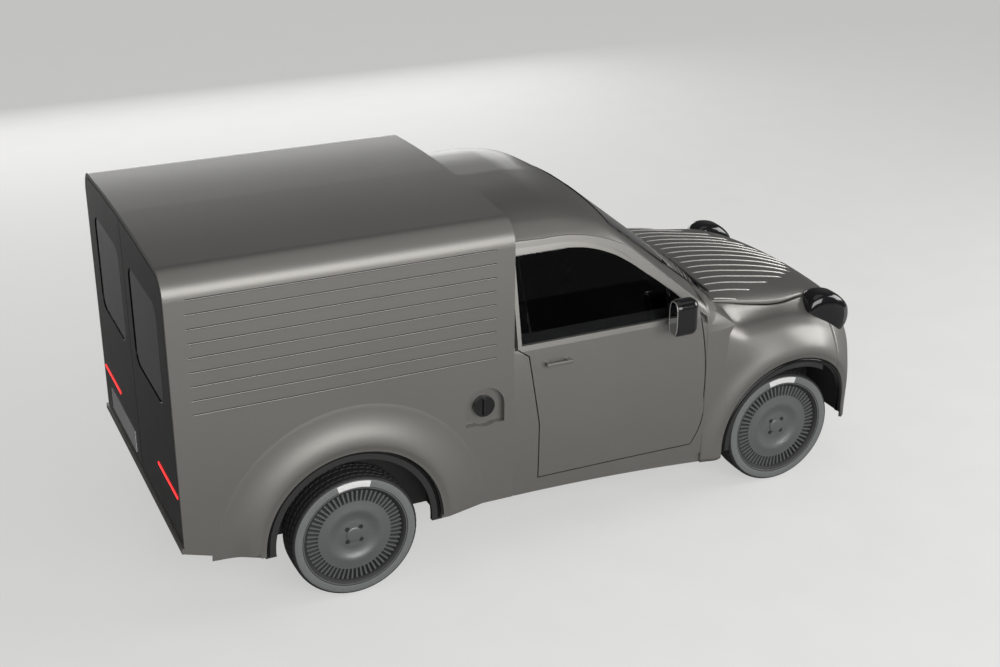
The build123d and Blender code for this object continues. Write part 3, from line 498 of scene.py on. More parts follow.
def make_ribs():
    """Thin raised ribs with tapered ends, in a lighter grey that is a painted highlight along each rib."""
    steps = 60
    verts = []
    faces = []
    for k in range(RIB_COUNT):
        y = RIB_HALF * (2 * k / (RIB_COUNT - 1) - 1)
        rear = BONNET_REAR + rear_bow(y) + RIB_SET_BACK
        front = monotone(RIB_TIPS_Y, RIB_TIPS_X, abs(y))
        start = len(verts)
        for i in range(steps):
            t = i / (steps - 1)
            x = rear + (front - rear) * t
            rise = smoothstep(t * RIB_REAR_TAPER) * smoothstep((1 - t) * RIB_FRONT_TAPER)
            wide = RIB_END_WIDTH + (1 - RIB_END_WIDTH) * rise
            z = point_at_y(section_curve(x), abs(y))[1]
            verts += [(x, y + dy * wide, z + (dz if dz < 0 else dz * rise)) for dy, dz in RIB_SECTION]
        faces += grid_faces(steps, len(RIB_SECTION), start)
    make_piece("bonnet_ribs", verts, faces, ["light_rim_and_rib_highlight"], "bonnet")


# Fenders and nose
SILL_LOW = 272.0
NOSE_SPLIT = 2697.0
PANEL_THICK = 14.0
# Swell round a wheel opening: its lip, peak and spread, and where across the front one fades in
FLARE_RISE = 38.0
FRONT_FLARE = (6.0, 17.0, 62.0)
REAR_FLARE = (25.0, 33.0, 88.0)
FLARE_FROM_Y = 500
FLARE_OVER_Y = 150


def arch_low(x):
    """Lower end of the fender at station x: the wheel arch, or the sill."""
    d = x - WHEELBASE
    if abs(d) < FRONT_ARCH_R:
        return ARCH_Z + math.sqrt(FRONT_ARCH_R ** 2 - d * d)
    return SILL_LOW


def fender_rows():
    """Stations of the fender and nose, packed closely where the arch is steep."""
    first, last = STATIONS[0], STATIONS[-1]
    behind = WHEELBASE - FRONT_ARCH_R - 1.0
    ahead = WHEELBASE + FRONT_ARCH_R + 1.0
    xs = [first + (behind - first) * i / 10 for i in range(11)]
    xs += [WHEELBASE - FRONT_ARCH_R * math.cos(math.pi * i / 64) for i in range(1, 64)]
    xs += [ahead + (last - ahead) * math.sin(math.pi / 2 * i / 26) for i in range(27)]
    return xs


def flare_out(r, inner, lip, peak, wide):
    """Swell round a wheel opening: a lip that turns in below a soft shoulder."""
    crest = inner + FLARE_RISE
    if r < crest:
        return lip + (peak - lip) * smoothstep((r - inner) / (crest - inner))
    return peak * math.exp(-((r - crest) / wide) ** 2)


def fender_line(x, count):
    """Half section outside the bonnet, from the shut line down to the arch or the sill."""
    curve = section_curve(x)
    if x < BONNET_REAR:
        start_y = BONNET_Y[0] + SHUT_GAP
    elif x < BONNET_TIP + SHUT_GAP:
        start_y = bonnet_half(min(x, BONNET_TIP)) + SHUT_GAP
    else:
        start_y = 0.0
    i, z = point_at_y(curve, start_y)
    line = [(start_y, z)] + curve[i + 1:]
    low = arch_low(x)
    cut = []
    for p, q in zip(line, line[1:]):
        cut.append(p)
        if q[1] <= low:
            t = (p[1] - low) / max(1e-6, p[1] - q[1])
            cut.append((p[0] + (q[0] - p[0]) * t, low))
            break
    else:
        cut += [line[-1], (line[-1][0], low)]
    return resample(cut, count)


def make_fenders():
    """Right and left fenders; the rest of each half, which is the nose, is handed on."""
    cols = 54
    xs = fender_rows()
    rows = max(i for i, x in enumerate(xs) if x <= NOSE_SPLIT) + 1
    nose_verts = []
    nose_faces = []
    for side, name in SIDES:
        verts = []
        for x in xs:
            for y, z in fender_line(x, cols):
                r = math.hypot(x - WHEELBASE, z - ARCH_Z)
                fade = smoothstep((y - FLARE_FROM_Y) / FLARE_OVER_Y)
                verts.append((x, side * (y + flare_out(r, FRONT_ARCH_R, *FRONT_FLARE) * fade), z))
        fender = make_piece("fender_skin_" + name, verts[:rows * cols], grid_faces(rows, cols),
                            ["body_paint"], "body")
        thicken(fender, PANEL_THICK)
        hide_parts("fender_" + name)
        nose_faces += grid_faces(len(xs) - rows + 1, cols, len(nose_verts))
        nose_verts += verts[(rows - 1) * cols:]
    return nose_verts, nose_faces


# Bumper face: station, half width, lower and upper edge and corner radius of each loop
BUMPER_LOOPS = (
    (2950, 304, 276, 688, 78), (2984, 305, 276, 688, 78), (2993, 301, 280, 684, 75),
    (2998, 294, 287, 677, 70), (3000, 286, 295, 669, 64), (3000, 243, 308, 463, 32),
    (2998, 236, 315, 456, 27), (2992, 232, 319, 452, 24), (2956, 231, 321, 450, 23),
)


def rounded_loop(x, half_y, z0, z1, r, per=10):
    """Rounded rectangle of points across the van at station x."""
    out = []
    for cy, cz, start in ((half_y - r, z1 - r, 0), (-half_y + r, z1 - r, 90), (-half_y + r, z0 + r, 180),
                          (half_y - r, z0 + r, 270)):
        for k in range(per + 1):
            a = math.radians(start + 90.0 * k / per)
            out.append((x, cy + r * math.cos(a), cz + r * math.sin(a)))
    return out


def make_nose(verts, faces):
    """Nose between the fenders, with a rounded bumper face and the air opening."""
    shell = make_piece("nose_skin", verts, faces, ["body_paint"], "body")
    thicken(shell, PANEL_THICK)
    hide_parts("nose")
    loops = [rounded_loop(*loop) for loop in BUMPER_LOOPS]
    make_piece("bumper_face", sum(loops, []), grid_faces(len(loops), len(loops[0]), wrap=True),
               ["body_paint"], "body")


# Cab: the windscreen from its top to its foot as (x, z), its bow in plan, and the roof
SCREEN_TOP = (1440.0, 1588.0)
SCREEN_FOOT = (2036.0, 1108.0)
SCREEN_BOW = 155.0
SCREEN_BOW_HALF = 800.0
SCREEN_HALF = 560.0
SCREEN_BORDER = 24.0
CAB_REAR = 800.0
CAB_JOIN = 1857.0
CAB_TOP = 1700.0
CAB_MIDDLE_Z = 1000.0
ROOF_END = 1500
ROOF_X = (800, 1090, 1190, 1275, 1360, 1440, ROOF_END)
ROOF_DROP = (0, 0, 9, 28, 62, 112, 160)
ROOF_END_SLOPE = 0.8
CROWN_Y = (0, 180, 360, 480, 572, 620, 700)
CROWN_DROP = (0, 4, 15, 32, 56, 76, 118)
ROOF_BLEND = 34.0
SHOULDER_REACH = 74.0
SHOULDER_NARROWS = 26.0
SHOULDER_FROM_X = 1300
SHOULDER_OVER_X = 300
SHOULDER_TALLER = 1.1
ROOF_STEPS = 26
SHOULDER_STEPS = 14
SIDE_STEPS = 8
SKIN_THICK = 3.0
INNER_CLEARANCE = 4.0
# Half width at the belt line, and how far the side leans in over the height above it
BELT_Z = 1078.0
LEAN_HEIGHT = 494.0
CAB_SIDE = (767.0, 105.0)
GLASS_SIDE = (764.0, 118.0)
DOOR_TOP_X = (800, 1000, 1160, 1300, 1440, 1524, 1660, 1800, 1880)
DOOR_TOP_Z = (1592, 1584, 1570, 1546, 1485, 1409, 1294, 1178, 1110)


def cab_top(x, y):
    """Height of the roof or windscreen surface at a plan point."""
    y = abs(y)
    slope = (SCREEN_FOOT[0] - SCREEN_TOP[0]) / (SCREEN_TOP[1] - SCREEN_FOOT[1])
    screen = SCREEN_TOP[1] - (x - SCREEN_TOP[0] + SCREEN_BOW * (y / SCREEN_BOW_HALF) ** 2) / slope
    drop = monotone(ROOF_X, ROOF_DROP, x) if x < ROOF_END else ROOF_DROP[-1] + (x - ROOF_END) * ROOF_END_SLOPE
    roof = CAB_TOP - drop - monotone(CROWN_Y, CROWN_DROP, y)
    h = max(0.0, min(1.0, 0.5 + 0.5 * (screen - roof) / ROOF_BLEND))
    return screen + (roof - screen) * h - ROOF_BLEND * h * (1 - h)


def cab_side_y(z):
    """Half width of the leaning cab side at height z."""
    return CAB_SIDE[0] - (z - BELT_Z) * CAB_SIDE[1] / LEAN_HEIGHT


def cab_section(x, low):
    """Half section of the cab skin: top, rounded shoulder and leaning side down to a height."""
    # The corner where roof and side would meet, found by going back and forth between them
    y = CAB_SIDE[0]
    for _ in range(12):
        y = cab_side_y(cab_top(x, y))
    z = cab_top(x, y)
    reach = SHOULDER_REACH - SHOULDER_NARROWS * smoothstep((x - SHOULDER_FROM_X) / SHOULDER_OVER_X)
    down = reach * SHOULDER_TALLER
    start = (y - reach, cab_top(x, y - reach))
    end = (cab_side_y(z - down), z - down)
    flat_y = [(y - reach) * k / ROOF_STEPS for k in range(ROOF_STEPS)]
    out = [(top_y, cab_top(x, top_y)) for top_y in flat_y]
    for k in range(SHOULDER_STEPS + 1):
        t = k / SHOULDER_STEPS
        out.append(tuple((1 - t) ** 2 * p + 2 * t * (1 - t) * c + t * t * q
                         for p, c, q in zip(start, (y, z), end)))
    low = min(low, end[1] - 4)
    for k in range(1, SIDE_STEPS + 1):
        side_z = end[1] + (low - end[1]) * k / SIDE_STEPS
        out.append((cab_side_y(side_z), side_z))
    return out


def in_screen(point):
    """Whether a point of the skin is in the windscreen opening."""
    x, y, z = point
    edge = (SCREEN_TOP[0] + SCREEN_BORDER - SCREEN_BOW * (y / SCREEN_BOW_HALF) ** 2
            + (SCREEN_TOP[1] - z) * 0.25)
    return abs(y) < SCREEN_HALF + 4 and x > edge


def make_cab_skin():
    """Smooth roof, door surround and windscreen posts."""
    rows = 119
    verts = []
    faces = []
    for side, _ in SIDES:
        start = len(verts)
        for i in range(rows):
            x = CAB_REAR + 0.5 + (CAB_JOIN - CAB_REAR) * i / (rows - 1)
            verts += [(x, side * y, z) for y, z in cab_section(x, monotone(DOOR_TOP_X, DOOR_TOP_Z, x))]
        cols = (len(verts) - start) // rows
        faces += [f for f in grid_faces(rows, cols, start) if not in_screen(centre_of(verts, f))]
    skin = make_piece("cab_skin", verts, faces, ["body_paint"], "body")
    thicken(skin, SKIN_THICK)


def ray_reach(section, y, z):
    """Distance from the cab's middle to its skin, in the direction of a point."""
    aim = math.atan2(z - CAB_MIDDLE_Z, max(y, 0.001))
    for (y0, z0), (y1, z1) in zip(section, section[1:]):
        a0 = math.atan2(z0 - CAB_MIDDLE_Z, max(y0, 0.001))
        a1 = math.atan2(z1 - CAB_MIDDLE_Z, max(y1, 0.001))
        if min(a0, a1) <= aim <= max(a0, a1) and a0 != a1:
            t = (aim - a0) / (a1 - a0)
            return math.hypot(y0 + (y1 - y0) * t, z0 + (z1 - z0) * t - CAB_MIDDLE_Z)
    return None


def make_cab_inner():
    """Copy of the cab frame, drawn in where it would show through the smooth skins."""
    inner = copy_node(NODES["cab_frame"], "cab_inner")
    turn = inner.matrix_world.copy()
    back = turn.inverted()
    sections = {}
    for v in inner.data.vertices:
        w = turn @ v.co
        x = w.x / MM - AXLE_SHIFT
        y = abs(w.y) / MM
        z = w.z / MM
        if z < CAB_MIDDLE_Z + 40 or x > SCREEN_FOOT[0] - 2:
            continue
        key = round(x)
        if key not in sections:
            sections[key] = cab_section(x, CAB_MIDDLE_Z) if x < CAB_JOIN else section_curve(x)
        limit = ray_reach(sections[key], y, z)
        here = math.hypot(y, z - CAB_MIDDLE_Z)
        if limit and here > limit - INNER_CLEARANCE:
            k = (limit - INNER_CLEARANCE) / here
            w.y = math.copysign(y * k * MM, w.y)
            w.z = (CAB_MIDDLE_Z + (z - CAB_MIDDLE_Z) * k) * MM
            v.co = back @ w
    inner.data.materials.clear()
    inner.data.materials.append(MATERIALS["body_paint"])
    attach(inner, "body")
    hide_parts("cab_frame")


# Wheels: closed profiles of (radius, outward), and which of their points are which
TYRE_PROFILE = (
    (232, 62), (240, 72), (247, 77), (253, 79.5), (258, 80.5), (268, 81.6), (280, 81.6), (289, 80.5),
    (293, 79.2), (297, 77.5), (302, 73), (305, 68), (306.2, 62), (306.6, 55), (300.5, 53.5), (300.5, 49.5),
    (306.9, 48), (307.4, 24), (300.5, 22.5), (300.5, 17.5), (307.6, 16), (307.8, 0), (307.6, -16),
    (300.5, -17.5), (300.5, -22.5), (307.4, -24), (306.9, -48), (300.5, -49.5), (300.5, -53.5),
    (306.6, -55), (306.2, -62), (305, -68), (302, -73), (297, -77.5), (289, -80.5), (275, -81.6),
    (258, -80.5), (247, -77), (232, -62), (231, 0),
)
TYRE_SEGMENTS = 240
# Tyre faces that carry the painted sheen ring
SHEEN_FIRST, SHEEN_LAST = 4, 7
TREAD_FIRST, TREAD_LAST = 11, 31
TREAD_MIN_R = 303
TREAD_CUT = 3.6
# Half width, in steps round the tyre, of the painted highlight at the top of the ring
HIGHLIGHT_HALF = 11
DISC_PROFILE = (
    (0.05, 63.6), (24, 63.4), (33, 62.6), (37, 60.5), (38.5, 56.2), (42, 56), (58, 56), (64, 55.5), (72, 54),
    (82, 54.5), (94, 57.5), (106, 62), (116, 66.5), (124, 69.2), (131, 70), (140, 69), (152, 67), (166, 65),
    (175, 64.2), (178, 64), (180, 63.9), (236, 61.5), (238, 61.6), (242, 63), (245, 68), (248, 76),
    (250, 79.4), (254, 80), (257, 78.5), (257, 72), (247, 62), (244, 40), (232, 20), (232, -30), (247, -60),
    (257, -70), (257, -78), (250, -79), (240, -62), (224, -30), (222, 20), (224, 38), (178, 40), (150, 44),
    (128, 48), (106, 40), (62, 32), (34, 30), (34, 58), (33, 61.2), (0.05, 61.4),
)
SLOT_FIRST, SLOT_LAST = 20, 21
SLOT_COUNT = 60
SLOT_STEPS = 8
SLOT_DEPTH = 15.0
BOLT_R = 47.0
BOLT_RINGS = ((11.6, 55.2), (11.4, 56.5), (0.01, 56.5))


def tread_warp(j, k, r, d):
    """Every fourth step of the tread blocks is a cross cut."""
    cut = TREAD_FIRST <= k <= TREAD_LAST and r > TREAD_MIN_R and (j + k // 3) % 4 == 0
    return (r - TREAD_CUT, d) if cut else (r, d)


def tyre_shade(j, k):
    """Rubber, a grey ring on the sidewall bulge that is a painted sheen, and a white patch at the top of that
    ring that is a painted highlight.
    """
    if not SHEEN_FIRST <= k <= SHEEN_LAST:
        return 0
    from_top = min(j, TYRE_SEGMENTS - 1 - j)
    return 2 if from_top < HIGHLIGHT_HALF and k < SHEEN_LAST else 1


def slot_warp(j, k, r, d):
    """Half of each step of the disc band is pressed in."""
    inside = SLOT_FIRST <= k <= SLOT_LAST and 1 <= j % SLOT_STEPS <= SLOT_STEPS // 2
    return (r, d - SLOT_DEPTH) if inside else (r, d)


def slot_shade(j, k):
    # Painted shade: the floor of each pressed-in slot takes the dark finish, for the dark seen through a real
    # slot
    return 1 if k == SLOT_FIRST and 1 <= j % SLOT_STEPS < SLOT_STEPS // 2 else 0


def lathe(name, profile, centre, side, segments, body, materials, shade, warp):
    """Closed profile turned about a wheel axle; warp moves a point and shade picks a face's finish."""
    cx, cy, cz = centre
    verts = []
    for j in range(segments):
        a = 2 * math.pi * j / segments
        for k, point in enumerate(profile):
            r, d = warp(j, k, *point)
            verts.append((cx + r * math.sin(a), cy + side * d, cz + r * math.cos(a)))
    n = len(profile)
    faces = []
    for j in range(segments):
        near = j * n
        far = (j + 1) % segments * n
        for k in range(n):
            m = (k + 1) % n
            faces.append(((near + k, near + m, far + m, far + k), shade(j, k)))
    return make_piece(name, verts, faces, materials, body)


def make_wheels():
    """Road tyres with a grey ring of painted sheen and a painted highlight on it, and pressed discs with
    radial slots whose floors are painted shade.
    """
    for end, x, half in (("rear", 0.0, REAR_TRACK_HALF), ("front", WHEELBASE, FRONT_TRACK_HALF)):
        for side, name in SIDES:
            tag = end + "_" + name
            body = "wheel_" + tag
            centre = (x, side * half, TYRE_R)
            tyre = lathe("tyre_skin_" + tag, TYRE_PROFILE, centre, side, TYRE_SEGMENTS, body,
                         ("tyre_rubber", "sheen_ring_painted", "highlight_patch_painted"), tyre_shade, tread_warp)
            disc = lathe("disc_skin_" + tag, DISC_PROFILE, centre, side, SLOT_COUNT * SLOT_STEPS, body,
                         ("wheel_paint", "black_trim_and_painted_shade"), slot_shade, slot_warp)
            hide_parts("tyre_" + tag)
            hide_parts("disc_" + tag)
            make_bolts(tag, centre, side)


def make_bolts(tag, centre, side):
    """Four dark discs of painted shade for the bolt wells round the bare hub."""
    cx, cy, cz = centre
    steps = 24
    verts = []
    faces = []
    for k in range(4):
        a = math.radians(45 + 90 * k)
        start = len(verts)
        for r, d in BOLT_RINGS:
            for j in range(steps):
                t = 2 * math.pi * j / steps
                verts.append((cx + BOLT_R * math.sin(a) + r * math.cos(t), cy + side * d,
                              cz + BOLT_R * math.cos(a) + r * math.sin(t)))
        faces += grid_faces(len(BOLT_RINGS), steps, start, wrap=True)
    make_piece("bolt_wells_" + tag, verts, faces, ["black_trim_and_painted_shade"], "wheel_" + tag)


# Wheel openings: the gloss ring's radius along the arch and its place across, and its own thickness
ARCH_RINGS = (("rear", 0.0, 417.0, 768.0), ("front", WHEELBASE, 405.0, 760.0))
RING_INSET = 13.0
RING_HALF_HIGH = 13.0
RING_HALF_WIDE = 19.0
RING_OUTER = 15.0
RING_FROM = -2
RING_SWEEP = 184
# The swell stands off the cargo side, turns in at its lip and sinks into the side at its outer edge
SWELL_REACH = 240.0
SWELL_LOW = 350.0
SWELL_STAND_OFF = 0.9
SWELL_LIP_IN = 14.0
SWELL_SINK = 2.4
SWELL_SINK_FROM = ARCH_R + 205
SWELL_SINK_OVER = 35


def make_arch_rings():
    """Gloss ring inside each wheel opening; a front one follows the fender in and out."""
    steps = 96
    around = 16
    for end, cx, radius, ring_y in ARCH_RINGS:
        for side, name in SIDES:
            verts = []
            for i in range(steps):
                a = math.radians(RING_FROM + RING_SWEEP * i / (steps - 1))
                outer = radius + RING_OUTER
                near = ring_y
                if end == "front":
                    near = skin_y(cx + outer * math.cos(a), ARCH_Z + outer * math.sin(a)) - RING_INSET
                for j in range(around):
                    t = 2 * math.pi * j / around
                    r = radius + RING_HALF_HIGH * math.cos(t)
                    verts.append((cx + r * math.cos(a), side * (near + RING_HALF_WIDE * math.sin(t)),
                                  ARCH_Z + r * math.sin(a)))
            make_piece("arch_ring_" + end + "_" + name, verts, grid_faces(steps, around, wrap=True),
                       ["ring_black"], "body")


def swell_profile():
    """Radius and outward place of the swell over a rear wheel, from its turned-in lip outward."""
    lip = REAR_FLARE[0] + SWELL_STAND_OFF
    out = [(ARCH_R - 1.0, -SWELL_LIP_IN), (ARCH_R - 1.0, lip - 1.0)]
    for k in range(41):
        r = ARCH_R + SWELL_REACH * k / 40
        sink = SWELL_SINK * smoothstep((r - SWELL_SINK_FROM) / SWELL_SINK_OVER)
        out.append((r, flare_out(r, ARCH_R, *REAR_FLARE) + SWELL_STAND_OFF - sink))
    return out


def make_swells():
    """Soft swelling of the cargo side over each rear wheel."""
    steps = 120
    profile = swell_profile()
    for side, name in SIDES:
        verts = []
        for i in range(steps):
            a = math.radians(180.0 * i / (steps - 1))
            for r, out in profile:
                z = ARCH_Z + r * math.sin(a)
                if r > ARCH_R + 24:
                    z = max(z, SWELL_LOW)
                verts.append((r * math.cos(a), side * (CARGO_HALF + out), z))
        make_piece("quarter_swell_" + name, verts, grid_faces(steps, len(profile)), ["body_paint"],
                   "body")


GROOVE_COUNT = 9
GROOVE_FIRST_Z = 1609.0
GROOVE_PITCH = 66.0
GROOVE_SPAN = (-702.0, 707.0)
GROOVE_R = 4.75
GROOVE_AXIS = CARGO_HALF + 1.5
GROOVE_SHADE_FROM = -8
GROOVE_SHADE_SWEEP = 80


def make_groove_shade():
    """Painted shade: a dark strip on the upper flank of each pressed groove of the cargo sides, where shade
    falls.
    """
    for side, name in SIDES:
        verts = []
        faces = []
        for k in range(GROOVE_COUNT):
            z = GROOVE_FIRST_Z - GROOVE_PITCH * k
            start = len(verts)
            for i in range(3):
                x = GROOVE_SPAN[0] + (GROOVE_SPAN[1] - GROOVE_SPAN[0]) * i / 2
                for j in range(6):
                    a = math.radians(GROOVE_SHADE_FROM + GROOVE_SHADE_SWEEP * j / 5)
                    verts.append((x, side * (GROOVE_AXIS - GROOVE_R * math.cos(a)),
                                  z + GROOVE_R * math.sin(a)))
            faces += grid_faces(3, 6, start)
        make_piece("groove_shade_" + name, verts, faces, ["black_trim_and_painted_shade"], "body")


# Headlamp pods: outline from the side as (x, z), the middle it shrinks to, and middle and half width
LAMP_SIDE = ((2563, 880), (2572, 940), (2598, 984), (2640, 1003), (2690, 1002), (2745, 986), (2796, 946),
             (2826, 905), (2834, 856), (2826, 812), (2803, 779), (2768, 764), (2710, 764), (2650, 771),
             (2600, 792), (2572, 832))
LAMP_MID = (2690.0, 884.0)
LAMP_Y = (564.0, 76.0)
LAMP_ROUNDING = (4.5, 3.2)
LENS_FROM_X = 2790
LENS_Z = (790, 950)


def closed_curve(points, per):
    """Smooth closed curve with per steps between two points."""
    n = len(points)
    out = []
    for i in range(n):
        four = [points[(i + k - 1) % n] for k in range(4)]
        out += [catmull(four, j / per) for j in range(per)]
    return out


def make_lamps():
    """Black headlamp pods with a smoked lens on the front."""
    rows = 33
    loop = closed_curve(LAMP_SIDE, 5)
    for side, name in SIDES:
        verts = []
        for i in range(rows):
            t = math.sin((-1 + 2 * i / (rows - 1)) * math.pi / 2)
            scale = max(1e-9, 1 - abs(t) ** LAMP_ROUNDING[0]) ** (1 / LAMP_ROUNDING[1])
            for x, z in loop:
                verts.append((LAMP_MID[0] + (x - LAMP_MID[0]) * scale, side * (LAMP_Y[0] + LAMP_Y[1] * t),
                              LAMP_MID[1] + (z - LAMP_MID[1]) * scale))
        faces = []
        for f in grid_faces(rows, len(loop), wrap=True):
            x, _, z = centre_of(verts, f)
            faces.append((f, 1 if x > LENS_FROM_X and LENS_Z[0] < z < LENS_Z[1] else 0))
        pod = make_piece("lamp_pod_" + name, verts, faces, ["gloss_black", "lens_smoke"],
                         "body")
        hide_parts("headlamp_" + name)


# Mirror glass: loops of (forward, half width, half height) about its middle
MIRROR_MID = (1601.0, 856.0, 1148.0)
MIRROR_LOOPS = ((0.8, 37.0, 84.0), (0.2, 39.5, 86.5), (-2.2, 38.0, 85.0), (-2.2, 34.5, 81.5),
                (-1.0, 33.5, 80.5), (-0.8, 0.05, 0.05))
MIRROR_RIM_LOOPS = 4
MIRROR_SQUARE = 0.62


def make_mirror_glass():
    """Silvered glass with a light rim on the flat back of each mirror."""
    steps = 64
    for side, name in SIDES:
        verts = []
        for dx, half_y, half_z in MIRROR_LOOPS:
            for j in range(steps):
                t = 2 * math.pi * j / steps
                across, up = (math.copysign(abs(v) ** MIRROR_SQUARE, v) for v in (math.cos(t), math.sin(t)))
                verts.append((MIRROR_MID[0] + dx, side * MIRROR_MID[1] + half_y * across,
                              MIRROR_MID[2] + half_z * up))
        grid = grid_faces(len(MIRROR_LOOPS), steps, wrap=True)
        faces = [(f, 0 if k < steps * MIRROR_RIM_LOOPS else 1) for k, f in enumerate(grid)]
        make_piece("mirror_glass_" + name, verts, faces, ["light_rim_and_rib_highlight", "mirror_silver"], "door_" + name)


# Side window: outline as (x, z), then border loops of (inward, set in) and bars of (x, z ranges, lean)
WINDOW = ((844, 1100), (844, 1330), (844, 1556), (1000, 1552), (1130, 1546), (1210, 1535), (1288, 1513),
          (1360, 1484), (1420, 1452), (1502, 1378), (1768, 1146), (1776, 1098), (1500, 1099))
WINDOW_MID = (1300.0, 1300.0)
BORDER_LOOPS = ((0.0, 20.0), (0.0, 13.0), (12.0, 13.5), (14.0, 17.0))
BORDER_WIDEN = 1.25
BAR_FACES = (14.6, 16.6)
BARS = ((846, 1774, 1100, 1152, 0), (900, 910, 1150, 1556, -34), (1640, 1648, 1150, 1262, 0))


def glass_y(z, set_in):
    """Leaning plane of the side glass."""
    return GLASS_SIDE[0] - set_in - (z - BELT_Z) * GLASS_SIDE[1] / LEAN_HEIGHT


def make_window_trim():
    """Black border, lower band and two slim dividers on each side window."""
    steps = 200
    outer = resample(WINDOW + WINDOW[:1], steps)
    for side, name in SIDES:
        verts = []
        for shrink, set_in in BORDER_LOOPS:
            for point in outer:
                k = 1 - shrink * BORDER_WIDEN / math.dist(point, WINDOW_MID)
                x, z = (m + (p - m) * k for p, m in zip(point, WINDOW_MID))
                verts.append((x, side * glass_y(z, set_in), z))
        faces = grid_faces(len(BORDER_LOOPS), steps)
        for x0, x1, z0, z1, lean in BARS:
            for set_in in BAR_FACES:
                faces += grid_faces(25, 2, len(verts))
                for i in range(25):
                    x = x0 + (x1 - x0) * i / 24
                    verts += [(x, side * glass_y(z0, set_in), z0), (x + lean, side * glass_y(z1, set_in), z1)]
        make_piece("window_trim_" + name, verts, faces, ["black_trim_and_painted_shade"], "door_" + name,
                   smooth=False)


# Seats, in metres
SEAT_VOXEL = 0.011
SEAT_PUFF = 0.024
SEAT_BASE = 0.03
SEAT_PRESSURE = 4.0
SEAT_FRAMES = 20


def make_seats():
    """Cushions puffed up by a short cloth simulation."""
    for name in ("left", "right"):
        pad = copy_node(NODES["seat_" + name], "seat_pad_" + name)
        remesh = pad.modifiers.new("voxels", "REMESH")
        remesh.mode = "VOXEL"
        remesh.voxel_size = SEAT_VOXEL
        bake(pad)
        puff(pad)
        sub = pad.modifiers.new("smooth", "SUBSURF")
        sub.levels = 1
        sub.render_levels = 1
        bake(pad)
        pad.data.materials.clear()
        pad.data.materials.append(MATERIALS["cabin_fabric"])
        for poly in pad.data.polygons:
            poly.use_smooth = True
        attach(pad, "body")
        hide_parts("seat_" + name)


def bake(obj):
    """Put the modifiers' result into the mesh."""
    bpy.context.view_layer.update()
    graph = bpy.context.evaluated_depsgraph_get()
    result = bpy.data.meshes.new_from_object(obj.evaluated_get(graph))
    obj.modifiers.clear()
    obj.data = result


def puff(obj):
    """Cloth under light inner pressure with the base held; no point moves further than SEAT_PUFF."""
    rest = [v.co.copy() for v in obj.data.vertices]
    low = min(v.z for v in rest)
    held = obj.vertex_groups.new(name="held")
    held.add([i for i, v in enumerate(rest) if v.z < low + SEAT_BASE], 1.0, "REPLACE")
    cloth = obj.modifiers.new("cloth", "CLOTH")
    cloth.settings.vertex_group_mass = "held"
    cloth.settings.use_pressure = True
    cloth.settings.uniform_pressure_force = SEAT_PRESSURE
    cloth.settings.effector_weights.gravity = 0.0
    cloth.settings.quality = 4
    cloth.collision_settings.use_collision = False
    cloth.point_cache.frame_start = 1
    cloth.point_cache.frame_end = SEAT_FRAMES
    scene = bpy.context.scene
    for frame_number in range(1, SEAT_FRAMES + 1):
        scene.frame_set(frame_number)
    graph = bpy.context.evaluated_depsgraph_get()
    moved = [v.co.copy() for v in obj.evaluated_get(graph).data.vertices]
    obj.modifiers.clear()
    for v, a, b in zip(obj.data.vertices, rest, moved):
        step = b - a
        if step.length > SEAT_PUFF:
            step = step.normalized() * SEAT_PUFF
        v.co = a + step
    scene.frame_set(1)


# Camera at the viewing angle of the photograph
LENS_MM = 55.2
SENSOR_MM = 36.0
CAMERA_PLACE = (-1986.0, -6543.8, 4060.4)
CAMERA_AZIMUTH = math.radians(-25.2)
CAMERA_ELEVATION = math.radians(24.18)
CAMERA_ROLL = math.radians(0.43)


def make_camera():
    """Camera turned about its view axis by the photo's slight roll."""
    data = bpy.data.cameras.new("camera")
    data.lens = LENS_MM
    data.sensor_width = SENSOR_MM
    cam = bpy.data.objects.new("camera", data)
    bpy.context.scene.collection.objects.link(cam)
    a = CAMERA_AZIMUTH
    e = CAMERA_ELEVATION
    back = Vector((math.sin(a) * math.cos(e), -math.cos(a) * math.cos(e), math.sin(e)))
    right = Vector((math.cos(a), math.sin(a), 0.0))
    up = back.cross(right)
    c = math.cos(CAMERA_ROLL)
    s = math.sin(CAMERA_ROLL)
    turn = Matrix((c * right + s * up, c * up - s * right, back)).transposed().to_4x4()
    cam.matrix_world = Matrix.Translation(at(*CAMERA_PLACE)) @ turn
    bpy.context.scene.camera = cam


# Stage: the floor's reach in metres, then each lamp's name, place, aim, size and power
FLOOR_HALF = 60.0
FLOOR_GLOW = (0.80, 0.80, 0.79, 1.0)
FLOOR_GLOW_STRENGTH = 0.62
WORLD_DIM = (0.10, 0.10, 0.102, 1.0)
WORLD_SEEN = (0.53, 0.53, 0.524, 1.0)
LAMPS = (
    ("side", (-0.4, -7.0, 3.2), (0.0, 0.0, 0.9), (9.0, 3.4), 520.0),
    ("front", (7.0, -2.0, 3.0), (1.2, 0.0, 0.7), (4.0, 3.0), 230.0),
    ("left_fill", (0.0, 8.0, 2.0), (0.0, 0.0, 0.8), (9.0, 2.4), 240.0),
    ("overhead", (0.5, -1.0, 7.5), (0.0, 0.0, 0.0), (7.0, 7.0), 70.0),
)


def show_eye(tree, plain, seen, target):
    """Send one shader to the camera's own rays and the plain one to all other light."""
    path = tree.nodes.new("ShaderNodeLightPath")
    pick = tree.nodes.new("ShaderNodeMixShader")
    link(tree, path.outputs["Is Camera Ray"], pick.inputs[0])
    link(tree, plain, pick.inputs[1])
    link(tree, seen, pick.inputs[2])
    link(tree, pick.outputs["Shader"], target.inputs["Surface"])


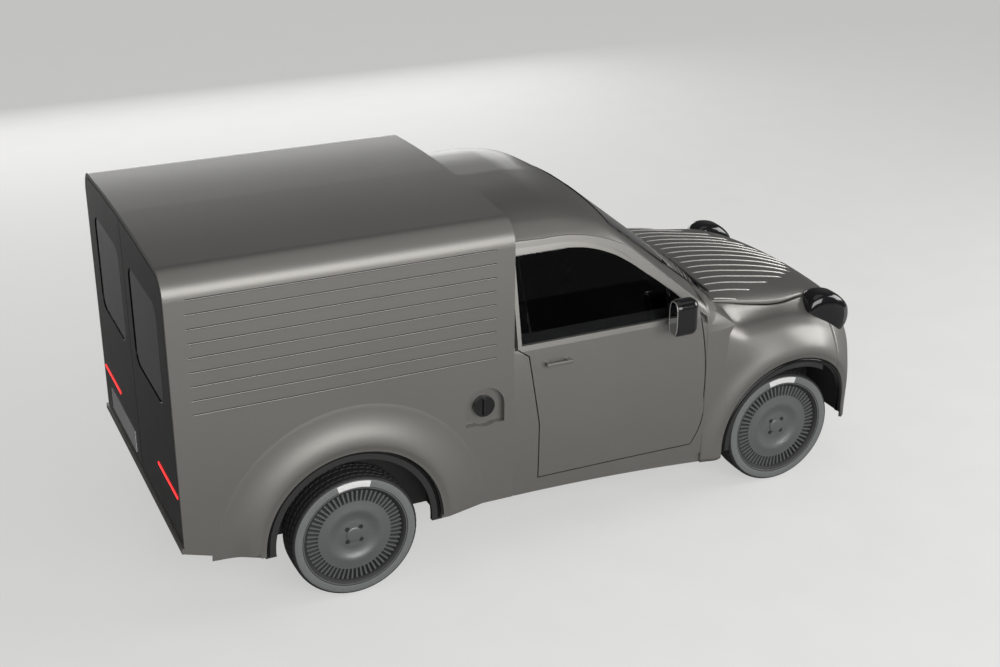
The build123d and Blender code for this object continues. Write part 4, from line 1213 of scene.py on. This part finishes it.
def make_floor():
    """Pale floor that looks lit to the camera and throws little light back."""
    r = FLOOR_HALF
    mesh = bpy.data.meshes.new("floor")
    mesh.from_pydata([(-r, -r, 0), (r, -r, 0), (r, r, 0), (-r, r, 0)], [], [(0, 1, 2, 3)])
    floor = bpy.data.objects.new("floor", mesh)
    bpy.context.scene.collection.objects.link(floor)
    mat = surface("floor_pale", (0.26, 0.258, 0.254), (0.28, 0.278, 0.274), (0.75, 0.9), 3.0)
    mesh.materials.append(mat)
    tree = mat.node_tree
    plain = tree.nodes["Principled BSDF"].outputs["BSDF"]
    glow = tree.nodes.new("ShaderNodeEmission")
    glow.inputs["Color"].default_value = FLOOR_GLOW
    glow.inputs["Strength"].default_value = FLOOR_GLOW_STRENGTH
    total = tree.nodes.new("ShaderNodeAddShader")
    link(tree, plain, total.inputs[0])
    link(tree, glow.outputs["Emission"], total.inputs[1])
    show_eye(tree, plain, total.outputs["Shader"], tree.nodes["Material Output"])


def make_world():
    """Dim surroundings for reflections, pale ones for the camera."""
    world = bpy.data.worlds.new("world")
    bpy.context.scene.world = world
    world.use_nodes = True
    tree = world.node_tree
    dim = tree.nodes["Background"]
    dim.inputs["Color"].default_value = WORLD_DIM
    dim.inputs["Strength"].default_value = 1.0
    seen = tree.nodes.new("ShaderNodeBackground")
    seen.inputs["Color"].default_value = WORLD_SEEN
    show_eye(tree, dim.outputs["Background"], seen.outputs["Background"], tree.nodes["World Output"])


def make_lights():
    """Soft studio lamps, each turned to its aim."""
    for name, place, aim, size, power in LAMPS:
        data = bpy.data.lights.new(name, "AREA")
        data.shape = "RECTANGLE"
        data.size, data.size_y = size
        data.energy = power
        lamp = bpy.data.objects.new(name, data)
        bpy.context.scene.collection.objects.link(lamp)
        lamp.location = place
        lamp.rotation_euler = (Vector(aim) - Vector(place)).to_track_quat("-Z", "Y").to_euler()


for name in ("rear_door_left", "rear_door_right"):
    NODES[name].data.materials[0] = MATERIALS["deep_black"]
make_bonnet()
make_ribs()
make_cab_skin()
make_cab_inner()
make_groove_shade()
make_nose(*make_fenders())
make_wheels()
make_arch_rings()
make_swells()
make_lamps()
make_mirror_glass()
make_window_trim()
make_seats()
for name in ("cargo_box", "door_left", "door_right", "rear_door_left", "rear_door_right", "rear_bumper",
             "charge_cap", "dashboard", "mirror_left", "mirror_right"):
    soften(NODES[name], 2.0)
make_camera()
make_floor()
make_world()
make_lights()
bpy.context.scene.view_settings.view_transform = "Standard"
